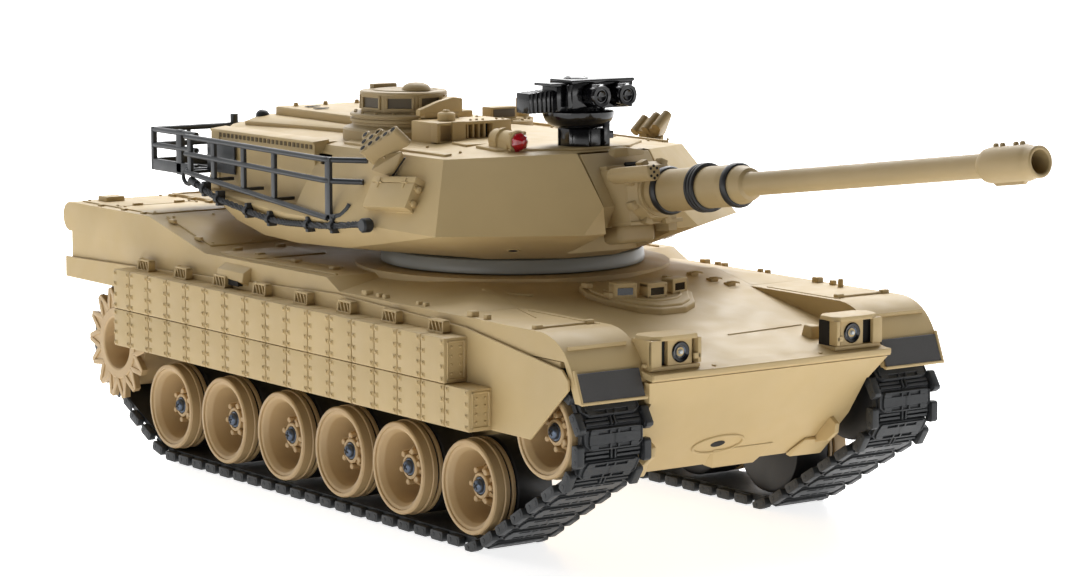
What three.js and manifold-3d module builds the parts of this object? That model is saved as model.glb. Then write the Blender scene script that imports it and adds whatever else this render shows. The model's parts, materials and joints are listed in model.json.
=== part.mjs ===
// A 1:24 class radio-controlled battle tank, built as separate pieces.
// Units are millimetres. The front of the tank faces -Y, up is +Z and its right side is -X.
// Lengths along the hull are measured from the turret's turning axis, and the finished group
// is moved along Y so that the origin lies under the middle of the whole tank, on the ground.

import * as THREE from 'three';
import { ConvexGeometry } from 'three/addons/geometries/ConvexGeometry.js';
import { mergeVertices } from 'three/addons/utils/BufferGeometryUtils.js';
import Module from 'manifold-3d';

const wasm = await Module();
wasm.setup();

// ---------------------------------------------------------------- driving dimensions

const TURRET_AXIS_Y = 34.75; // turret axis, measured from the middle of the overall length
const WALL = 2; // moulded wall thickness
const GAP = 0.35; // clearance between pieces that rest on each other

const HULL_HALF_WIDTH = 75;
const TUB_HALF_WIDTH = 44.6;
const FENDER_INNER_X = 47.5;
const REAR_WALL_Y = 187.5;
const ENGINE_DECK_FRONT_Y = 127; // the engine deck slopes down from here
const RING_DECK_REAR_Y = 86; // to the deck round the turret ring
const RING_DECK_FRONT_Y = 4;
const FENDER_TIP_Y = -121; // the fenders curve down in front of this
const BELLY_Z = 21;
const SPONSON_FLOOR_Z = 66;
const UPPER_HULL_BASE_Z = SPONSON_FLOOR_Z + WALL + GAP;
const ENGINE_DECK_Z = 90.2;
const RING_DECK_Z = 80.4;
const FENDER_TOP_Z = 76.3;
const GLACIS_REAR = [-52, RING_DECK_Z];
const GLACIS_FRONT = [-144.8, 62.8];

const WHEEL_RADIUS = 16;
const WHEEL_INNER_X = 51;
const WHEEL_OUTER_X = 73.9;
const WHEEL_SCREW_X = 69.5;
const ROAD_WHEEL_Z = 20.5;
const ROAD_WHEEL_Y = [-79.3, -37.9, -1.4, 37.1, 76.5, 114.9];
const AXLE_RADIUS = 2.4;
const AXLE_ROOT_X = 43.5;
const AXLE_TIP_X = 64;
const DRIVE_SHAFT_RADIUS = 3.2;
const DRIVE_BORE_RADIUS = DRIVE_SHAFT_RADIUS + 0.4;
const IDLER = { y: -120.7, z: 44.0, radius: 15 };
const SPROCKET = { y: 153.8, z: 39.6, drum: 16.8, tip: 21.2, teeth: 14 };
const WHEEL_SEGMENTS = 14;

const TRACK_THICKNESS = 4.2;
const TRACK_CLEARANCE = 0.3;
const TRACK_INNER_X = 48.7;
const TRACK_OUTER_X = 71.8;

const SKIRT_INNER_X = 75.3;
const SKIRT_PANEL_X = 76.2;
const BRICK_FACE_X = 85.3;
const BRICK_SEAM = 0.5;
const BRICK_REAR_Y = 136.5;
const BRICK_FIRST = 12.2;
const BRICK_PITCH = 13.79;
const BRICK_ROWS = [
  { bottom: 41.9, top: 55.5, columns: 17 },
  { bottom: 55.7, top: 70.4, columns: 16 },
];

const RING_DISC_RADIUS = 55.5;
const RING_DISC_Z = 81.5;
const RING_HOLE_RADIUS = 41;
const TURRET_RING_RADIUS = 46.5;
const TURRET_BASE_Z = 87.2;

const TRUNNION = { y: -62, z: 109.7 };
const GUN_ELEVATION = THREE.MathUtils.degToRad(7.5);

// ---------------------------------------------------------------- materials

const finish = (color, roughness, metalness = 0) =>
  new THREE.MeshStandardMaterial({ color, roughness, metalness });
const TAN = finish(0xb79a6c, 0.62);
const TRACK_BLACK = finish(0x2b2c2d, 0.7);
const RUBBER = finish(0x191a1b, 0.6);
const BASKET_GREY = finish(0x303234, 0.5);
const SIGHT_BLACK = finish(0x0c0c0d, 0.25);
const RING_GREY = finish(0x7f8380, 0.45);
const FLAP_GREY = finish(0x4b4a48, 0.6);
const LAMP_CLEAR = finish(0xd6dde0, 0.1);
const LAMP_RED = finish(0x8f0c12, 0.15);
const BOARD_GREEN = finish(0x1f5a3a, 0.5);
const BATTERY_BLUE = finish(0x27446b, 0.5);
const GEARBOX_WHITE = finish(0xd8d6cf, 0.5);

// ---------------------------------------------------------------- solid helpers

function solid(geometry) {
  const bare = geometry.clone();
  bare.deleteAttribute('normal');
  bare.deleteAttribute('uv');
  const merged = mergeVertices(bare, 1e-4);
  const corner = merged.index.array;
  const place = merged.attributes.position.array;
  const kept = [];
  let volume = 0;
  const at = (i) => new THREE.Vector3().fromArray(place, 3 * i);
  for (let i = 0; i < corner.length; i += 3) {
    const [a, b, c] = [corner[i], corner[i + 1], corner[i + 2]];
    if (a === b || b === c || c === a) continue;
    kept.push([a, b, c]);
    volume += at(a).dot(at(b).cross(at(c)));
  }
  const wound = volume < 0 ? kept.map(([a, b, c]) => [a, c, b]) : kept;
  return new wasm.Manifold(
    new wasm.Mesh({
      numProp: 3,
      vertProperties: new Float32Array(place),
      triVerts: new Uint32Array(wound.flat()),
    }),
  );
}

function geometryOf(shape) {
  const mesh = shape.getMesh();
  const geometry = new THREE.BufferGeometry();
  const positions = [];
  for (let i = 0; i < mesh.vertProperties.length; i += mesh.numProp) {
    positions.push(...mesh.vertProperties.slice(i, i + 3));
  }
  geometry.setAttribute('position', new THREE.Float32BufferAttribute(positions, 3));
  geometry.setIndex(Array.from(mesh.triVerts));
  geometry.computeVertexNormals();
  return geometry;
}

const join = (first, ...others) => others.reduce((sum, next) => sum.add(next), first);
const cut = (first, ...tools) => tools.reduce((rest, tool) => rest.subtract(tool), first);

function box(x0, x1, y0, y1, z0, z1) {
  const geometry = new THREE.BoxGeometry(x1 - x0, y1 - y0, z1 - z0);
  geometry.translate((x0 + x1) / 2, (y0 + y1) / 2, (z0 + z1) / 2);
  return solid(geometry);
}

const hull = (points) => solid(new ConvexGeometry(points.map((p) => new THREE.Vector3(...p))));

// The same points on both sides of the tank.
const bothSides = (points) => points.flatMap(([x, y, z]) => [[x, y, z], [-x, y, z]]);

const outline = (points) => new THREE.Shape(points.map(([a, b]) => new THREE.Vector2(a, b)));

// An outline of (y, z) points carried from x0 to x1.
function prismX(shape, x0, x1) {
  const flat = shape instanceof THREE.Shape ? shape : outline(shape);
  const settings = { depth: x1 - x0, bevelEnabled: false, curveSegments: 8 };
  const geometry = new THREE.ExtrudeGeometry(flat, settings);
  const turn = new THREE.Matrix4().makeBasis(
    new THREE.Vector3(0, 1, 0),
    new THREE.Vector3(0, 0, 1),
    new THREE.Vector3(1, 0, 0),
  );
  geometry.applyMatrix4(turn);
  geometry.translate(x0, 0, 0);
  return solid(geometry);
}

// A profile of (radius, distance) points turned about an axis through the origin.
function turned(profile, segments, axis) {
  const points = profile.map(([r, d]) => new THREE.Vector2(r, d));
  const geometry = new THREE.LatheGeometry(points, segments);
  if (axis === 'x') geometry.rotateZ(-Math.PI / 2);
  if (axis === 'z') geometry.rotateX(Math.PI / 2);
  return solid(geometry);
}

const turnedAt = (profile, segments, axis, x, y, z) =>
  turned(profile, segments, axis).translate([x, y, z]);

const disc = (radius, z0, z1, segments, x = 0, y = 0) =>
  turnedAt([[0, z0], [radius, z0], [radius, z1], [0, z1]], segments, 'z', x, y, 0);

// A square bar from one point to another.
function bar(from, to, width, depth = width) {
  const a = new THREE.Vector3(...from);
  const b = new THREE.Vector3(...to);
  const along = b.clone().sub(a);
  const geometry = new THREE.BoxGeometry(width, depth, along.length());
  const spin = new THREE.Quaternion();
  spin.setFromUnitVectors(new THREE.Vector3(0, 0, 1), along.clone().normalize());
  geometry.applyQuaternion(spin);
  const middle = a.add(b).multiplyScalar(0.5);
  geometry.translate(middle.x, middle.y, middle.z);
  return solid(geometry);
}

function mirrored(shape) {
  const geometry = geometryOf(shape);
  geometry.scale(-1, 1, 1);
  return solid(geometry);
}

const tank = new THREE.Group();
tank.position.y = TURRET_AXIS_Y;

function add(name, shape, material, parent = tank) {
  const mesh = new THREE.Mesh(geometryOf(shape), material);
  mesh.name = name;
  parent.add(mesh);
  return mesh;
}

function addPair(name, shape, material) {
  add(`${name}_right`, shape, material);
  add(`${name}_left`, mirrored(shape), material);
}

// ---------------------------------------------------------------- hull

const glacisSlope = (GLACIS_REAR[1] - GLACIS_FRONT[1]) / (GLACIS_REAR[0] - GLACIS_FRONT[0]);
const glacisZ = (y) => GLACIS_REAR[1] + (y - GLACIS_REAR[0]) * glacisSlope;

function upperHull() {
  const bulge = { y: REAR_WALL_Y + 1.3, z: ENGINE_DECK_Z - 5.6, radius: 5.6 };
  const side = new THREE.Shape();
  side.moveTo(REAR_WALL_Y, UPPER_HULL_BASE_Z);
  side.lineTo(REAR_WALL_Y, bulge.z - bulge.radius);
  side.absarc(bulge.y, bulge.z, bulge.radius, -0.57 * Math.PI, 0.5 * Math.PI, false);
  side.lineTo(ENGINE_DECK_FRONT_Y, ENGINE_DECK_Z);
  side.lineTo(RING_DECK_REAR_Y, RING_DECK_Z);
  side.lineTo(RING_DECK_FRONT_Y, RING_DECK_Z);
  side.lineTo(-4.5, FENDER_TOP_Z);
  side.lineTo(FENDER_TIP_Y, FENDER_TOP_Z);
  side.quadraticCurveTo(-132.5, 75.5, -137.5, 65.5);
  side.lineTo(-141.3, 56);
  side.lineTo(-139.2, 56);
  side.lineTo(-133.5, UPPER_HULL_BASE_Z);
  const outer = prismX(side, -HULL_HALF_WIDTH, HULL_HALF_WIDTH);

  const shoulder = hull(bothSides([
    [46, RING_DECK_FRONT_Y, RING_DECK_Z],
    [46, GLACIS_REAR[0], RING_DECK_Z],
    [46, -73, glacisZ(-73)],
    [HULL_HALF_WIDTH, -4, FENDER_TOP_Z],
    [HULL_HALF_WIDTH, -73, FENDER_TOP_Z],
    [46, RING_DECK_FRONT_Y, UPPER_HULL_BASE_Z + 4],
    [46, -73, UPPER_HULL_BASE_Z + 4],
  ]));
  const glacis = prismX(
    [GLACIS_REAR, GLACIS_FRONT, [-144.5, 60.9], [-52, RING_DECK_Z - WALL]],
    -49.2,
    49.2,
  );
  const aboveGlacis = prismX(
    [GLACIS_REAR, GLACIS_FRONT, [-150, 62], [-150, 95], [-52, 95]],
    -FENDER_INNER_X,
    FENDER_INNER_X,
  );
  const ring = disc(RING_DISC_RADIUS, 76, RING_DISC_Z, 32);

  const fenderHollow = [
    [90, 60],
    [90, RING_DECK_Z - WALL],
    [4.6, RING_DECK_Z - WALL],
    [-4, FENDER_TOP_Z - WALL],
    [-120.5, FENDER_TOP_Z - WALL],
    [-129, 72.3],
    [-134.5, 66],
    [-137, 60],
  ];
  const rightFender = prismX(fenderHollow, -HULL_HALF_WIDTH + WALL, -FENDER_INNER_X - WALL);
  const leftFender = prismX(fenderHollow, FENDER_INNER_X + WALL, HULL_HALF_WIDTH - WALL);
  const bay = prismX(
    [
      [REAR_WALL_Y - WALL, 50],
      [REAR_WALL_Y - WALL, ENGINE_DECK_Z - WALL],
      [ENGINE_DECK_FRONT_Y + 0.6, ENGINE_DECK_Z - WALL],
      [RING_DECK_REAR_Y + 0.6, RING_DECK_Z - WALL],
      [-50, RING_DECK_Z - WALL],
      [-52, RING_DECK_Z - WALL - 0.4],
      [-146, glacisZ(-146) - WALL - 0.1],
      [-146, 50],
    ],
    -FENDER_INNER_X + 0.01,
    FENDER_INNER_X - 0.01,
  );
  const rearBay = prismX(
    [
      [REAR_WALL_Y - WALL, 50],
      [REAR_WALL_Y - WALL, ENGINE_DECK_Z - WALL],
      [ENGINE_DECK_FRONT_Y + 0.6, ENGINE_DECK_Z - WALL],
      [RING_DECK_REAR_Y + 0.6, RING_DECK_Z - WALL],
      [60, RING_DECK_Z - WALL],
      [60, 50],
    ],
    -HULL_HALF_WIDTH + WALL,
    HULL_HALF_WIDTH - WALL,
  );
  const shell = cut(join(cut(outer, aboveGlacis), shoulder), rightFender, leftFender, bay, rearBay);
  const besideFrontPlate = box(-49.7, 49.7, -143, -130, 50, 60.6);
  return cut(join(cut(shell, besideFrontPlate), glacis, ring),
    disc(RING_HOLE_RADIUS, 40, 100, 32));
}

function lowerHull() {
  const outer = [
    [-143.2, 60.4],
    [-129.3, 40.1],
    [-115, 26],
    [-85, BELLY_Z],
    [150, BELLY_Z],
    [172, 29],
    [184, 44],
    [REAR_WALL_Y, SPONSON_FLOOR_Z],
    [REAR_WALL_Y, SPONSON_FLOOR_Z + WALL],
    [-132, SPONSON_FLOOR_Z + WALL],
    [-132, 60.4],
  ];
  const inner = [
    [-140, 60],
    [-127.5, 41.2],
    [-114, 28.1],
    [-84.8, BELLY_Z + WALL],
    [149.5, BELLY_Z + WALL],
    [170.7, 30.6],
    [182.1, 44.8],
    [REAR_WALL_Y - WALL, 64],
    [REAR_WALL_Y - WALL, 80],
    [-140, 80],
  ];
  const halfInside = TUB_HALF_WIDTH - WALL;
  const tub = prismX(outer, -TUB_HALF_WIDTH, TUB_HALF_WIDTH);
  const flangeZ = [SPONSON_FLOOR_Z, SPONSON_FLOOR_Z + WALL];
  const flange = box(-HULL_HALF_WIDTH + 0.4, HULL_HALF_WIDTH - 0.4, -131, REAR_WALL_Y, ...flangeZ);
  const frontEars = hull(bothSides([
    [49.2, -143.2, 60.4],
    [49.2, -140.6, 60.4],
    [45.3, -138.1, 53],
    [45.3, -135.5, 53],
  ]));
  const stubs = [1, -1].flatMap((side) =>
    [...ROAD_WHEEL_Y.map((y) => [y, ROAD_WHEEL_Z]), [IDLER.y, IDLER.z]].map(([y, z]) => {
      const reach = [
        [0, AXLE_ROOT_X],
        [AXLE_RADIUS, AXLE_ROOT_X],
        [AXLE_RADIUS, AXLE_TIP_X],
        [0, AXLE_TIP_X],
      ];
      return turned(reach, 8, 'x').rotate([0, 0, side > 0 ? 0 : 180]).translate([0, y, z]);
    }),
  );
  const underGlacis = prismX(
    [
      [-50, RING_DECK_Z - WALL - GAP],
      [-150, glacisZ(-150) - WALL - GAP - 0.2],
      [-150, 100],
      [-50, 100],
    ],
    -FENDER_INNER_X - 2.4,
    FENDER_INNER_X + 2.4,
  );
  const shaftHole = turnedAt(
    [[0, -60], [DRIVE_BORE_RADIUS, -60], [DRIVE_BORE_RADIUS, 60], [0, 60]],
    16, 'x', 0, SPROCKET.y, SPROCKET.z);
  const hatch = box(-24, 24, -64, 14, BELLY_Z - 5, BELLY_Z + WALL + 1);
  const switchSlot = box(-6, 6, 30, 44, BELLY_Z - 5, BELLY_Z + WALL + 1);
  const shell = cut(join(tub, flange, frontEars), prismX(inner, -halfInside, halfInside));
  return cut(join(shell, ...stubs), underGlacis, shaftHole, hatch, switchSlot);
}

add('upper_hull', upperHull(), TAN);
add('lower_hull', lowerHull(), TAN);

function rearGrille() {
  const plate = box(-45, 45, REAR_WALL_Y + GAP, REAR_WALL_Y + 3, 52, 77);
  const slots = [];
  for (let z = 55; z < 75; z += 4) {
    slots.push(box(-42, 42, REAR_WALL_Y + 1.6, REAR_WALL_Y + 4, z, z + 2));
  }
  return cut(plate, ...slots);
}
add('rear_grille', rearGrille(), TAN);

function sideSkirt() {
  const face = [
    [190.8, 61.4],
    [190.8, 69.2],
    [140, 70.6],
    [-3, 75.6],
    [-81, 73.2],
    [-133.8, 66],
    [-137.2, 63],
    [-137.2, 60],
    [-117.1, 41.8],
    [BRICK_REAR_Y, 41.8],
    [BRICK_REAR_Y, 56],
    [142, 61.4],
  ];
  const panel = prismX(face, -SKIRT_PANEL_X, -SKIRT_INNER_X);
  const bricks = BRICK_ROWS.flatMap((row) => {
    const blocks = [];
    let rear = BRICK_REAR_Y;
    for (let column = 0; column < row.columns; column += 1) {
      const width = column === 0 ? BRICK_FIRST : BRICK_PITCH;
      const front = rear - width;
      const y = [front + BRICK_SEAM / 2, rear - BRICK_SEAM / 2];
      blocks.push(box(-BRICK_FACE_X, -SKIRT_INNER_X - 0.2, ...y, row.bottom, row.top));
      rear = front;
    }
    return blocks;
  });
  return join(panel, ...bricks);
}
addPair('side_skirt', sideSkirt(), TAN);

function mudFlap() {
  const face = [[-138.1, 64.6], [-138.7, 64.7], [-141.6, 57.2], [-141.1, 57.1]];
  return prismX(face, -HULL_HALF_WIDTH + 0.8, -FENDER_INNER_X - 2.1).translate([0, -0.5, 0]);
}
addPair('mud_flap', mudFlap(), FLAP_GREY);

// Tools that trim a piece so that it follows the slope it stands on.
const glacisBlock = prismX(
  [[GLACIS_REAR[0], GLACIS_REAR[1] + GAP], [-160, glacisZ(-160) + GAP], [-160, 0], [-52, 0]],
  -60,
  60,
);

const LAMP = { x: -35.4, y: -141.2, z: 69 };
function headlightGuard() {
  const block = hull([
    [-47.2, LAMP.y, 64], [-28, LAMP.y, 64], [-47.2, LAMP.y, 73.6], [-28, LAMP.y, 73.6],
    [-47.2, LAMP.y + 9.5, 63], [-28, LAMP.y + 9.5, 63],
    [-46, LAMP.y + 9.5, 74.4], [-29.5, LAMP.y + 9.5, 74.4],
  ]);
  const pocket = turnedAt(
    [[0, -2], [3.4, -2], [3.4, 3.2], [0, 3.2]], 20, 'y', LAMP.x, LAMP.y, LAMP.z);
  return cut(block, pocket, glacisBlock);
}
addPair('headlight_guard', headlightGuard(), TAN);
addPair('headlight_lens', turnedAt(
  [[0, 0.4], [2.9, 1.2], [2.9, 2.9], [0, 2.9]], 20, 'y', LAMP.x, LAMP.y, LAMP.z), LAMP_CLEAR);

function driverHatch() {
  const rim = [[17.5, -63], [19.8, -70], [18, -79], [12, -88.5], [5, -92.6]];
  const lid = hull(bothSides(rim.flatMap(([x, y]) => [[x, y, 60], [x, y, glacisZ(y) + 2.2]])));
  const sights = [[-10.8, -78.5], [0, -81], [10.8, -78.5]].map(([x, y]) =>
    box(x - 4.1, x + 4.1, y - 2.6, y + 2.4, 70, glacisZ(y) + 6.8));
  return cut(join(lid, ...sights), glacisBlock);
}
add('driver_hatch', driverHatch(), TAN);

// ---------------------------------------------------------------- inside the hull

add('battery_cover', join(
  box(-23.6, 23.6, -63.6, 13.6, BELLY_Z, BELLY_Z + WALL),
  box(-6, 6, -63.6, -60, BELLY_Z - 0.8, BELLY_Z + WALL),
), TAN);
add('battery_pack', box(-16, 16, -58, 8, 24.5, 44), BATTERY_BLUE);
add('control_board', join(
  box(-34, 34, 70, 118, 52, 53.6),
  box(-12, 4, 76, 92, 53, 57),
  box(12, 24, 86, 106, 53, 60),
), BOARD_GREEN);
add('speaker', disc(16, 25, 31, 20, 0, 78), RUBBER);
add('turret_motor', join(
  disc(8, 40, 60, 16, 0, 56),
  box(-12, 12, 48, 64, 60, 63),
), GEARBOX_WHITE);

function driveGearbox() {
  const shell = join(
    box(-41.5, -16, 138, 170, 31, 58),
    turnedAt([[0, -36], [9, -36], [9, -10], [0, -10]], 16, 'x', 0, 128, 46),
    box(-36, -18, 128, 139, 38, 54),
  );
  const bore = turnedAt(
    [[0, -50], [DRIVE_BORE_RADIUS, -50], [DRIVE_BORE_RADIUS, -30], [0, -30]],
    16, 'x', 0, SPROCKET.y, SPROCKET.z);
  return cut(shell, bore);
}
addPair('drive_gearbox', driveGearbox(), GEARBOX_WHITE);

add('power_switch', join(
  box(-7.5, 7.5, 28.5, 45.5, BELLY_Z + WALL + GAP, BELLY_Z + WALL + 3),
  box(-3, 3, 33.5, 38.5, BELLY_Z - 1.5, BELLY_Z + WALL + 1),
), RUBBER);

// ---------------------------------------------------------------- running gear

function roadWheel(radius) {
  return turned(
    [
      [0, 65.5],
      [AXLE_RADIUS + 0.3, 65.5],
      [AXLE_RADIUS + 0.3, WHEEL_INNER_X],
      [radius, WHEEL_INNER_X],
      [radius, WHEEL_OUTER_X],
      [radius - 2.9, WHEEL_OUTER_X],
      [radius - 4.2, 67],
      [5.2, 67],
      [4.6, WHEEL_SCREW_X],
      [0, WHEEL_SCREW_X],
    ],
    WHEEL_SEGMENTS,
    'x',
  ).rotate([0, 0, 180]);
}

function toothedRing(x0, x1) {
  const points = [];
  const step = (2 * Math.PI) / SPROCKET.teeth;
  const rim = [[-0.3, 17.2], [-0.11, SPROCKET.tip], [0.11, SPROCKET.tip], [0.3, 17.2]];
  for (let tooth = 0; tooth < SPROCKET.teeth; tooth += 1) {
    for (const [turn, radius] of rim) {
      const angle = (tooth + turn) * step;
      points.push([radius * Math.cos(angle), radius * Math.sin(angle)]);
    }
  }
  const bore = turned([[0, x0 - 1], [13, x0 - 1], [13, x1 + 1], [0, x1 + 1]], 14, 'x');
  return cut(prismX(points, x0, x1), bore);
}

function sprocket() {
  const body = turned(
    [
      [0, -34], [DRIVE_SHAFT_RADIUS, -34], [DRIVE_SHAFT_RADIUS, -45.9],
      [SPROCKET.drum, -45.9], [SPROCKET.drum, -74.8], [9.6, -74.8],
      [8.6, -58], [0, -58],
    ],
    14,
    'x',
  );
  return join(body, toothedRing(-74.8, -72.3), toothedRing(-48.3, -45.9));
}

const rightWheel = roadWheel(WHEEL_RADIUS);
ROAD_WHEEL_Y.forEach((y, index) => {
  const placed = rightWheel.translate([0, y, ROAD_WHEEL_Z]);
  add(`road_wheel_right_${index + 1}`, placed, TAN);
  add(`road_wheel_left_${index + 1}`, mirrored(placed), TAN);
});
addPair('idler_wheel', roadWheel(IDLER.radius).translate([0, IDLER.y, IDLER.z]), TAN);
addPair('drive_sprocket', sprocket().translate([0, SPROCKET.y, SPROCKET.z]), TAN);

// The closed path of a belt at a given height above the wheels it runs round.
function beltPath(lift) {
  const wheels = [
    { y: ROAD_WHEEL_Y[0], z: ROAD_WHEEL_Z, radius: WHEEL_RADIUS },
    { y: ROAD_WHEEL_Y[5], z: ROAD_WHEEL_Z, radius: WHEEL_RADIUS },
    { y: SPROCKET.y, z: SPROCKET.z, radius: SPROCKET.drum + 0.2 },
    { y: IDLER.y, z: IDLER.z, radius: IDLER.radius },
  ];
  const points = [];
  const legs = wheels.map((from, index) => {
    const to = wheels[(index + 1) % wheels.length];
    const heading = Math.atan2(to.z - from.z, to.y - from.y);
    const distance = Math.hypot(to.y - from.y, to.z - from.z);
    return heading - Math.asin((to.radius - from.radius) / distance) - Math.PI / 2;
  });
  wheels.forEach((wheel, index) => {
    const enter = legs[(index + wheels.length - 1) % wheels.length];
    let leave = legs[index];
    while (leave < enter) leave += 2 * Math.PI;
    const steps = Math.max(2, Math.ceil((leave - enter) / 0.3));
    for (let i = 0; i <= steps; i += 1) {
      const angle = enter + ((leave - enter) * i) / steps;
      const reach = wheel.radius + TRACK_CLEARANCE + lift;
      points.push([wheel.y + reach * Math.cos(angle), wheel.z + reach * Math.sin(angle)]);
    }
  });
  return points;
}

function track() {
  const outer = prismX(beltPath(TRACK_THICKNESS), -TRACK_OUTER_X, -TRACK_INNER_X);
  return cut(outer, prismX(beltPath(0), -TRACK_OUTER_X - 1, -TRACK_INNER_X + 1));
}
addPair('track', track(), TRACK_BLACK);

// ---------------------------------------------------------------- turret

// Corners of one side of the turret, the front cheek first.
const TURRET_SIDE = [
  [15.5, -58.7, 124], [15, -73.4, 107.3], [24.2, -74.7, 98.5],
  [63.9, -46.1, 98], [50.7, -31.7, 121.9],
  [66, 0, 98.5], [66, 45, 98], [64, 90, 100], [59, 112, 101],
  [61, 12, 88.6], [61, 45, TURRET_BASE_Z], [60, 69, 87.7], [59, 90, 91.2], [57, 104, 95.4],
  [47, 0, TURRET_BASE_Z], [33, -33, TURRET_BASE_Z], [10, -46.5, TURRET_BASE_Z],
  [44, 125.5, 101], [44, 125.5, 120], [51.4, 40, 121.8], [53, 112, 120],
  [24, 0, 125.6], [24, 118, 126.6], [40, 124, 123],
];

// The gun swings in a slot between the two cheeks.
const SLOT = { halfWidth: 15, rearY: -52.5, lipZ: 121.5, sweep: 15.5 };

function turretShell() {
  const outer = hull(bothSides(TURRET_SIDE));
  const bustleCuts = [1, -1].map((side) => {
    const x = side > 0 ? [56.2, 90] : [-90, -56.2];
    return box(...x, 41, 140, 100.5, 140);
  });
  const ledges = hull(bothSides([
    [50, 41, 112], [50, 112, 112], [56.2, 41, 112], [56.2, 110, 112],
    [56.2, 41, 122.7], [56.2, 110, 122.7], [40, 41, 122.7], [40, 112, 122.7],
  ]));
  const sweep = cut(
    turnedAt([[0, -SLOT.halfWidth], [SLOT.sweep, -SLOT.halfWidth], [SLOT.sweep, SLOT.halfWidth],
      [0, SLOT.halfWidth]], 40, 'x', 0, TRUNNION.y, TRUNNION.z),
    box(-SLOT.halfWidth - 1, SLOT.halfWidth + 1, SLOT.rearY, 0, 80, SLOT.lipZ),
  );
  const slot = join(
    sweep,
    box(-SLOT.halfWidth, SLOT.halfWidth, -100, TRUNNION.y, 80, 140),
    box(-SLOT.halfWidth, SLOT.halfWidth, TRUNNION.y - 1, SLOT.rearY, 80, SLOT.lipZ),
  );
  const inside = hull(bothSides([
    [18, -48, 121.2], [20, -62, 102], [60, -38, 99.5], [48, -28, 119.3],
    [62.5, 0, 99.5], [62.5, 38, 99.5], [58.5, 14, 90.4], [58.5, 38, 89.2],
    [54, 42, 118.7], [54, 106, 118.7], [53.5, 106, 101.5], [42, 122, 103],
    [42, 122, 117.5], [20, 116, 124], [18, -20, 122.6], [55.5, 90, 94.5], [42, -4, 89.2],
  ]));
  const frontWall = box(-SLOT.halfWidth - WALL, SLOT.halfWidth + WALL, -80, SLOT.rearY + WALL, 80, 140);
  const sideWalls = [1, -1].map((side) => {
    const x = side > 0 ? [54.2, 90] : [-90, -54.2];
    return box(...x, 38.5, 140, 97.5, 140);
  });
  const room = cut(inside, frontWall, ...sideWalls);
  const well = disc(38, 80, 95, 32);
  return cut(join(cut(outer, ...bustleCuts, slot), ledges), room, well);
}
add('turret_shell', turretShell(), TAN);

add('turret_ring', turned(
  [
    [30, 77], [RING_HOLE_RADIUS - 0.5, 77], [RING_HOLE_RADIUS - 0.5, RING_DISC_Z + GAP],
    [TURRET_RING_RADIUS, RING_DISC_Z + GAP], [TURRET_RING_RADIUS - 0.6, TURRET_BASE_Z - GAP],
    [30, TURRET_BASE_Z - GAP], [30, 77],
  ],
  32,
  'z',
), RING_GREY);

// Everything that stands on the turret is trimmed to the shape underneath it.
const turretOutside = join(
  hull(bothSides(TURRET_SIDE.map(([x, y, z]) => [x + GAP, y, z + GAP]))),
  box(-56.6, 56.6, 40.6, 112.4, 100, 122.7 + GAP),
);

const CUPOLA = { x: -24, y: 33 };
const cupolaRoom = disc(21.5 + GAP, 120, 132.6 + GAP, 24, CUPOLA.x, CUPOLA.y);
add('commander_cupola', cut(turnedAt(
  [
    [0, 120], [21.5, 120], [21.5, 127.6], [18.6, 130.2], [18.6, 132.4],
    [15.5, 133.2], [15.5, 139.6], [14.4, 140.6], [0, 141.8],
  ],
  24, 'z', CUPOLA.x, CUPOLA.y, 0), turretOutside), TAN);

const SIGHT = { x0: -34.5, x1: -3.3, y0: -4, y1: 12.5, z0: 122, z1: 131.5 };
function sightHousing() {
  const block = box(SIGHT.x0, SIGHT.x1, SIGHT.y0, SIGHT.y1, SIGHT.z0, SIGHT.z1);
  const cap = disc(3.1, SIGHT.z1 - 1, SIGHT.z1 + 3.4, 16, -26, 3);
  const doorway = box(-23.3, -11.4, SIGHT.y0 - 1, SIGHT.y0 + 6, 125.2, 130.8);
  return cut(join(block, cap), doorway, turretOutside, cupolaRoom);
}
add('sight_housing', sightHousing(), TAN);

const SIGNAL = { x: -25, y: -32.2, z: 127.1, radius: 3.7, halfLength: 6.8 };
add('signal_lamp_housing', cut(join(
  turnedAt([[0, -SIGNAL.halfLength], [SIGNAL.radius, -SIGNAL.halfLength],
    [SIGNAL.radius, SIGNAL.halfLength], [0, SIGNAL.halfLength]], 18, 'y', SIGNAL.x, SIGNAL.y, SIGNAL.z),
  box(SIGNAL.x - 3.2, SIGNAL.x + 3.2, SIGNAL.y - 5.5, SIGNAL.y + 5.5, 115, SIGNAL.z),
), turretOutside), TAN);
add('signal_lamp_lens', turnedAt(
  [[0, -10], [2.2, -9.3], [3.1, -7.4], [3.1, -7.1], [0, -7.1]],
  18, 'y', SIGNAL.x, SIGNAL.y, SIGNAL.z), LAMP_RED);

// The turret's slanting side wall: depth is measured outward from its surface.
const wallX = (z) => 51.4 + (121.8 - z) * 0.5375;
const onWall = (y, z, depth) => [-(wallX(z) + depth * 0.881), y, z + depth * 0.474];

function stowageBox() {
  const ends = [{ y: -3.5, z: 102.7 }, { y: -28.5, z: 104.6 }];
  const height = 10.1;
  return cut(hull(ends.flatMap(({ y, z }) => [
    onWall(y, z, -1), onWall(y, z + height, -1), onWall(y, z, 4), onWall(y, z + height, 4),
  ])), turretOutside);
}
addPair('stowage_box', stowageBox(), TAN);

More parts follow.
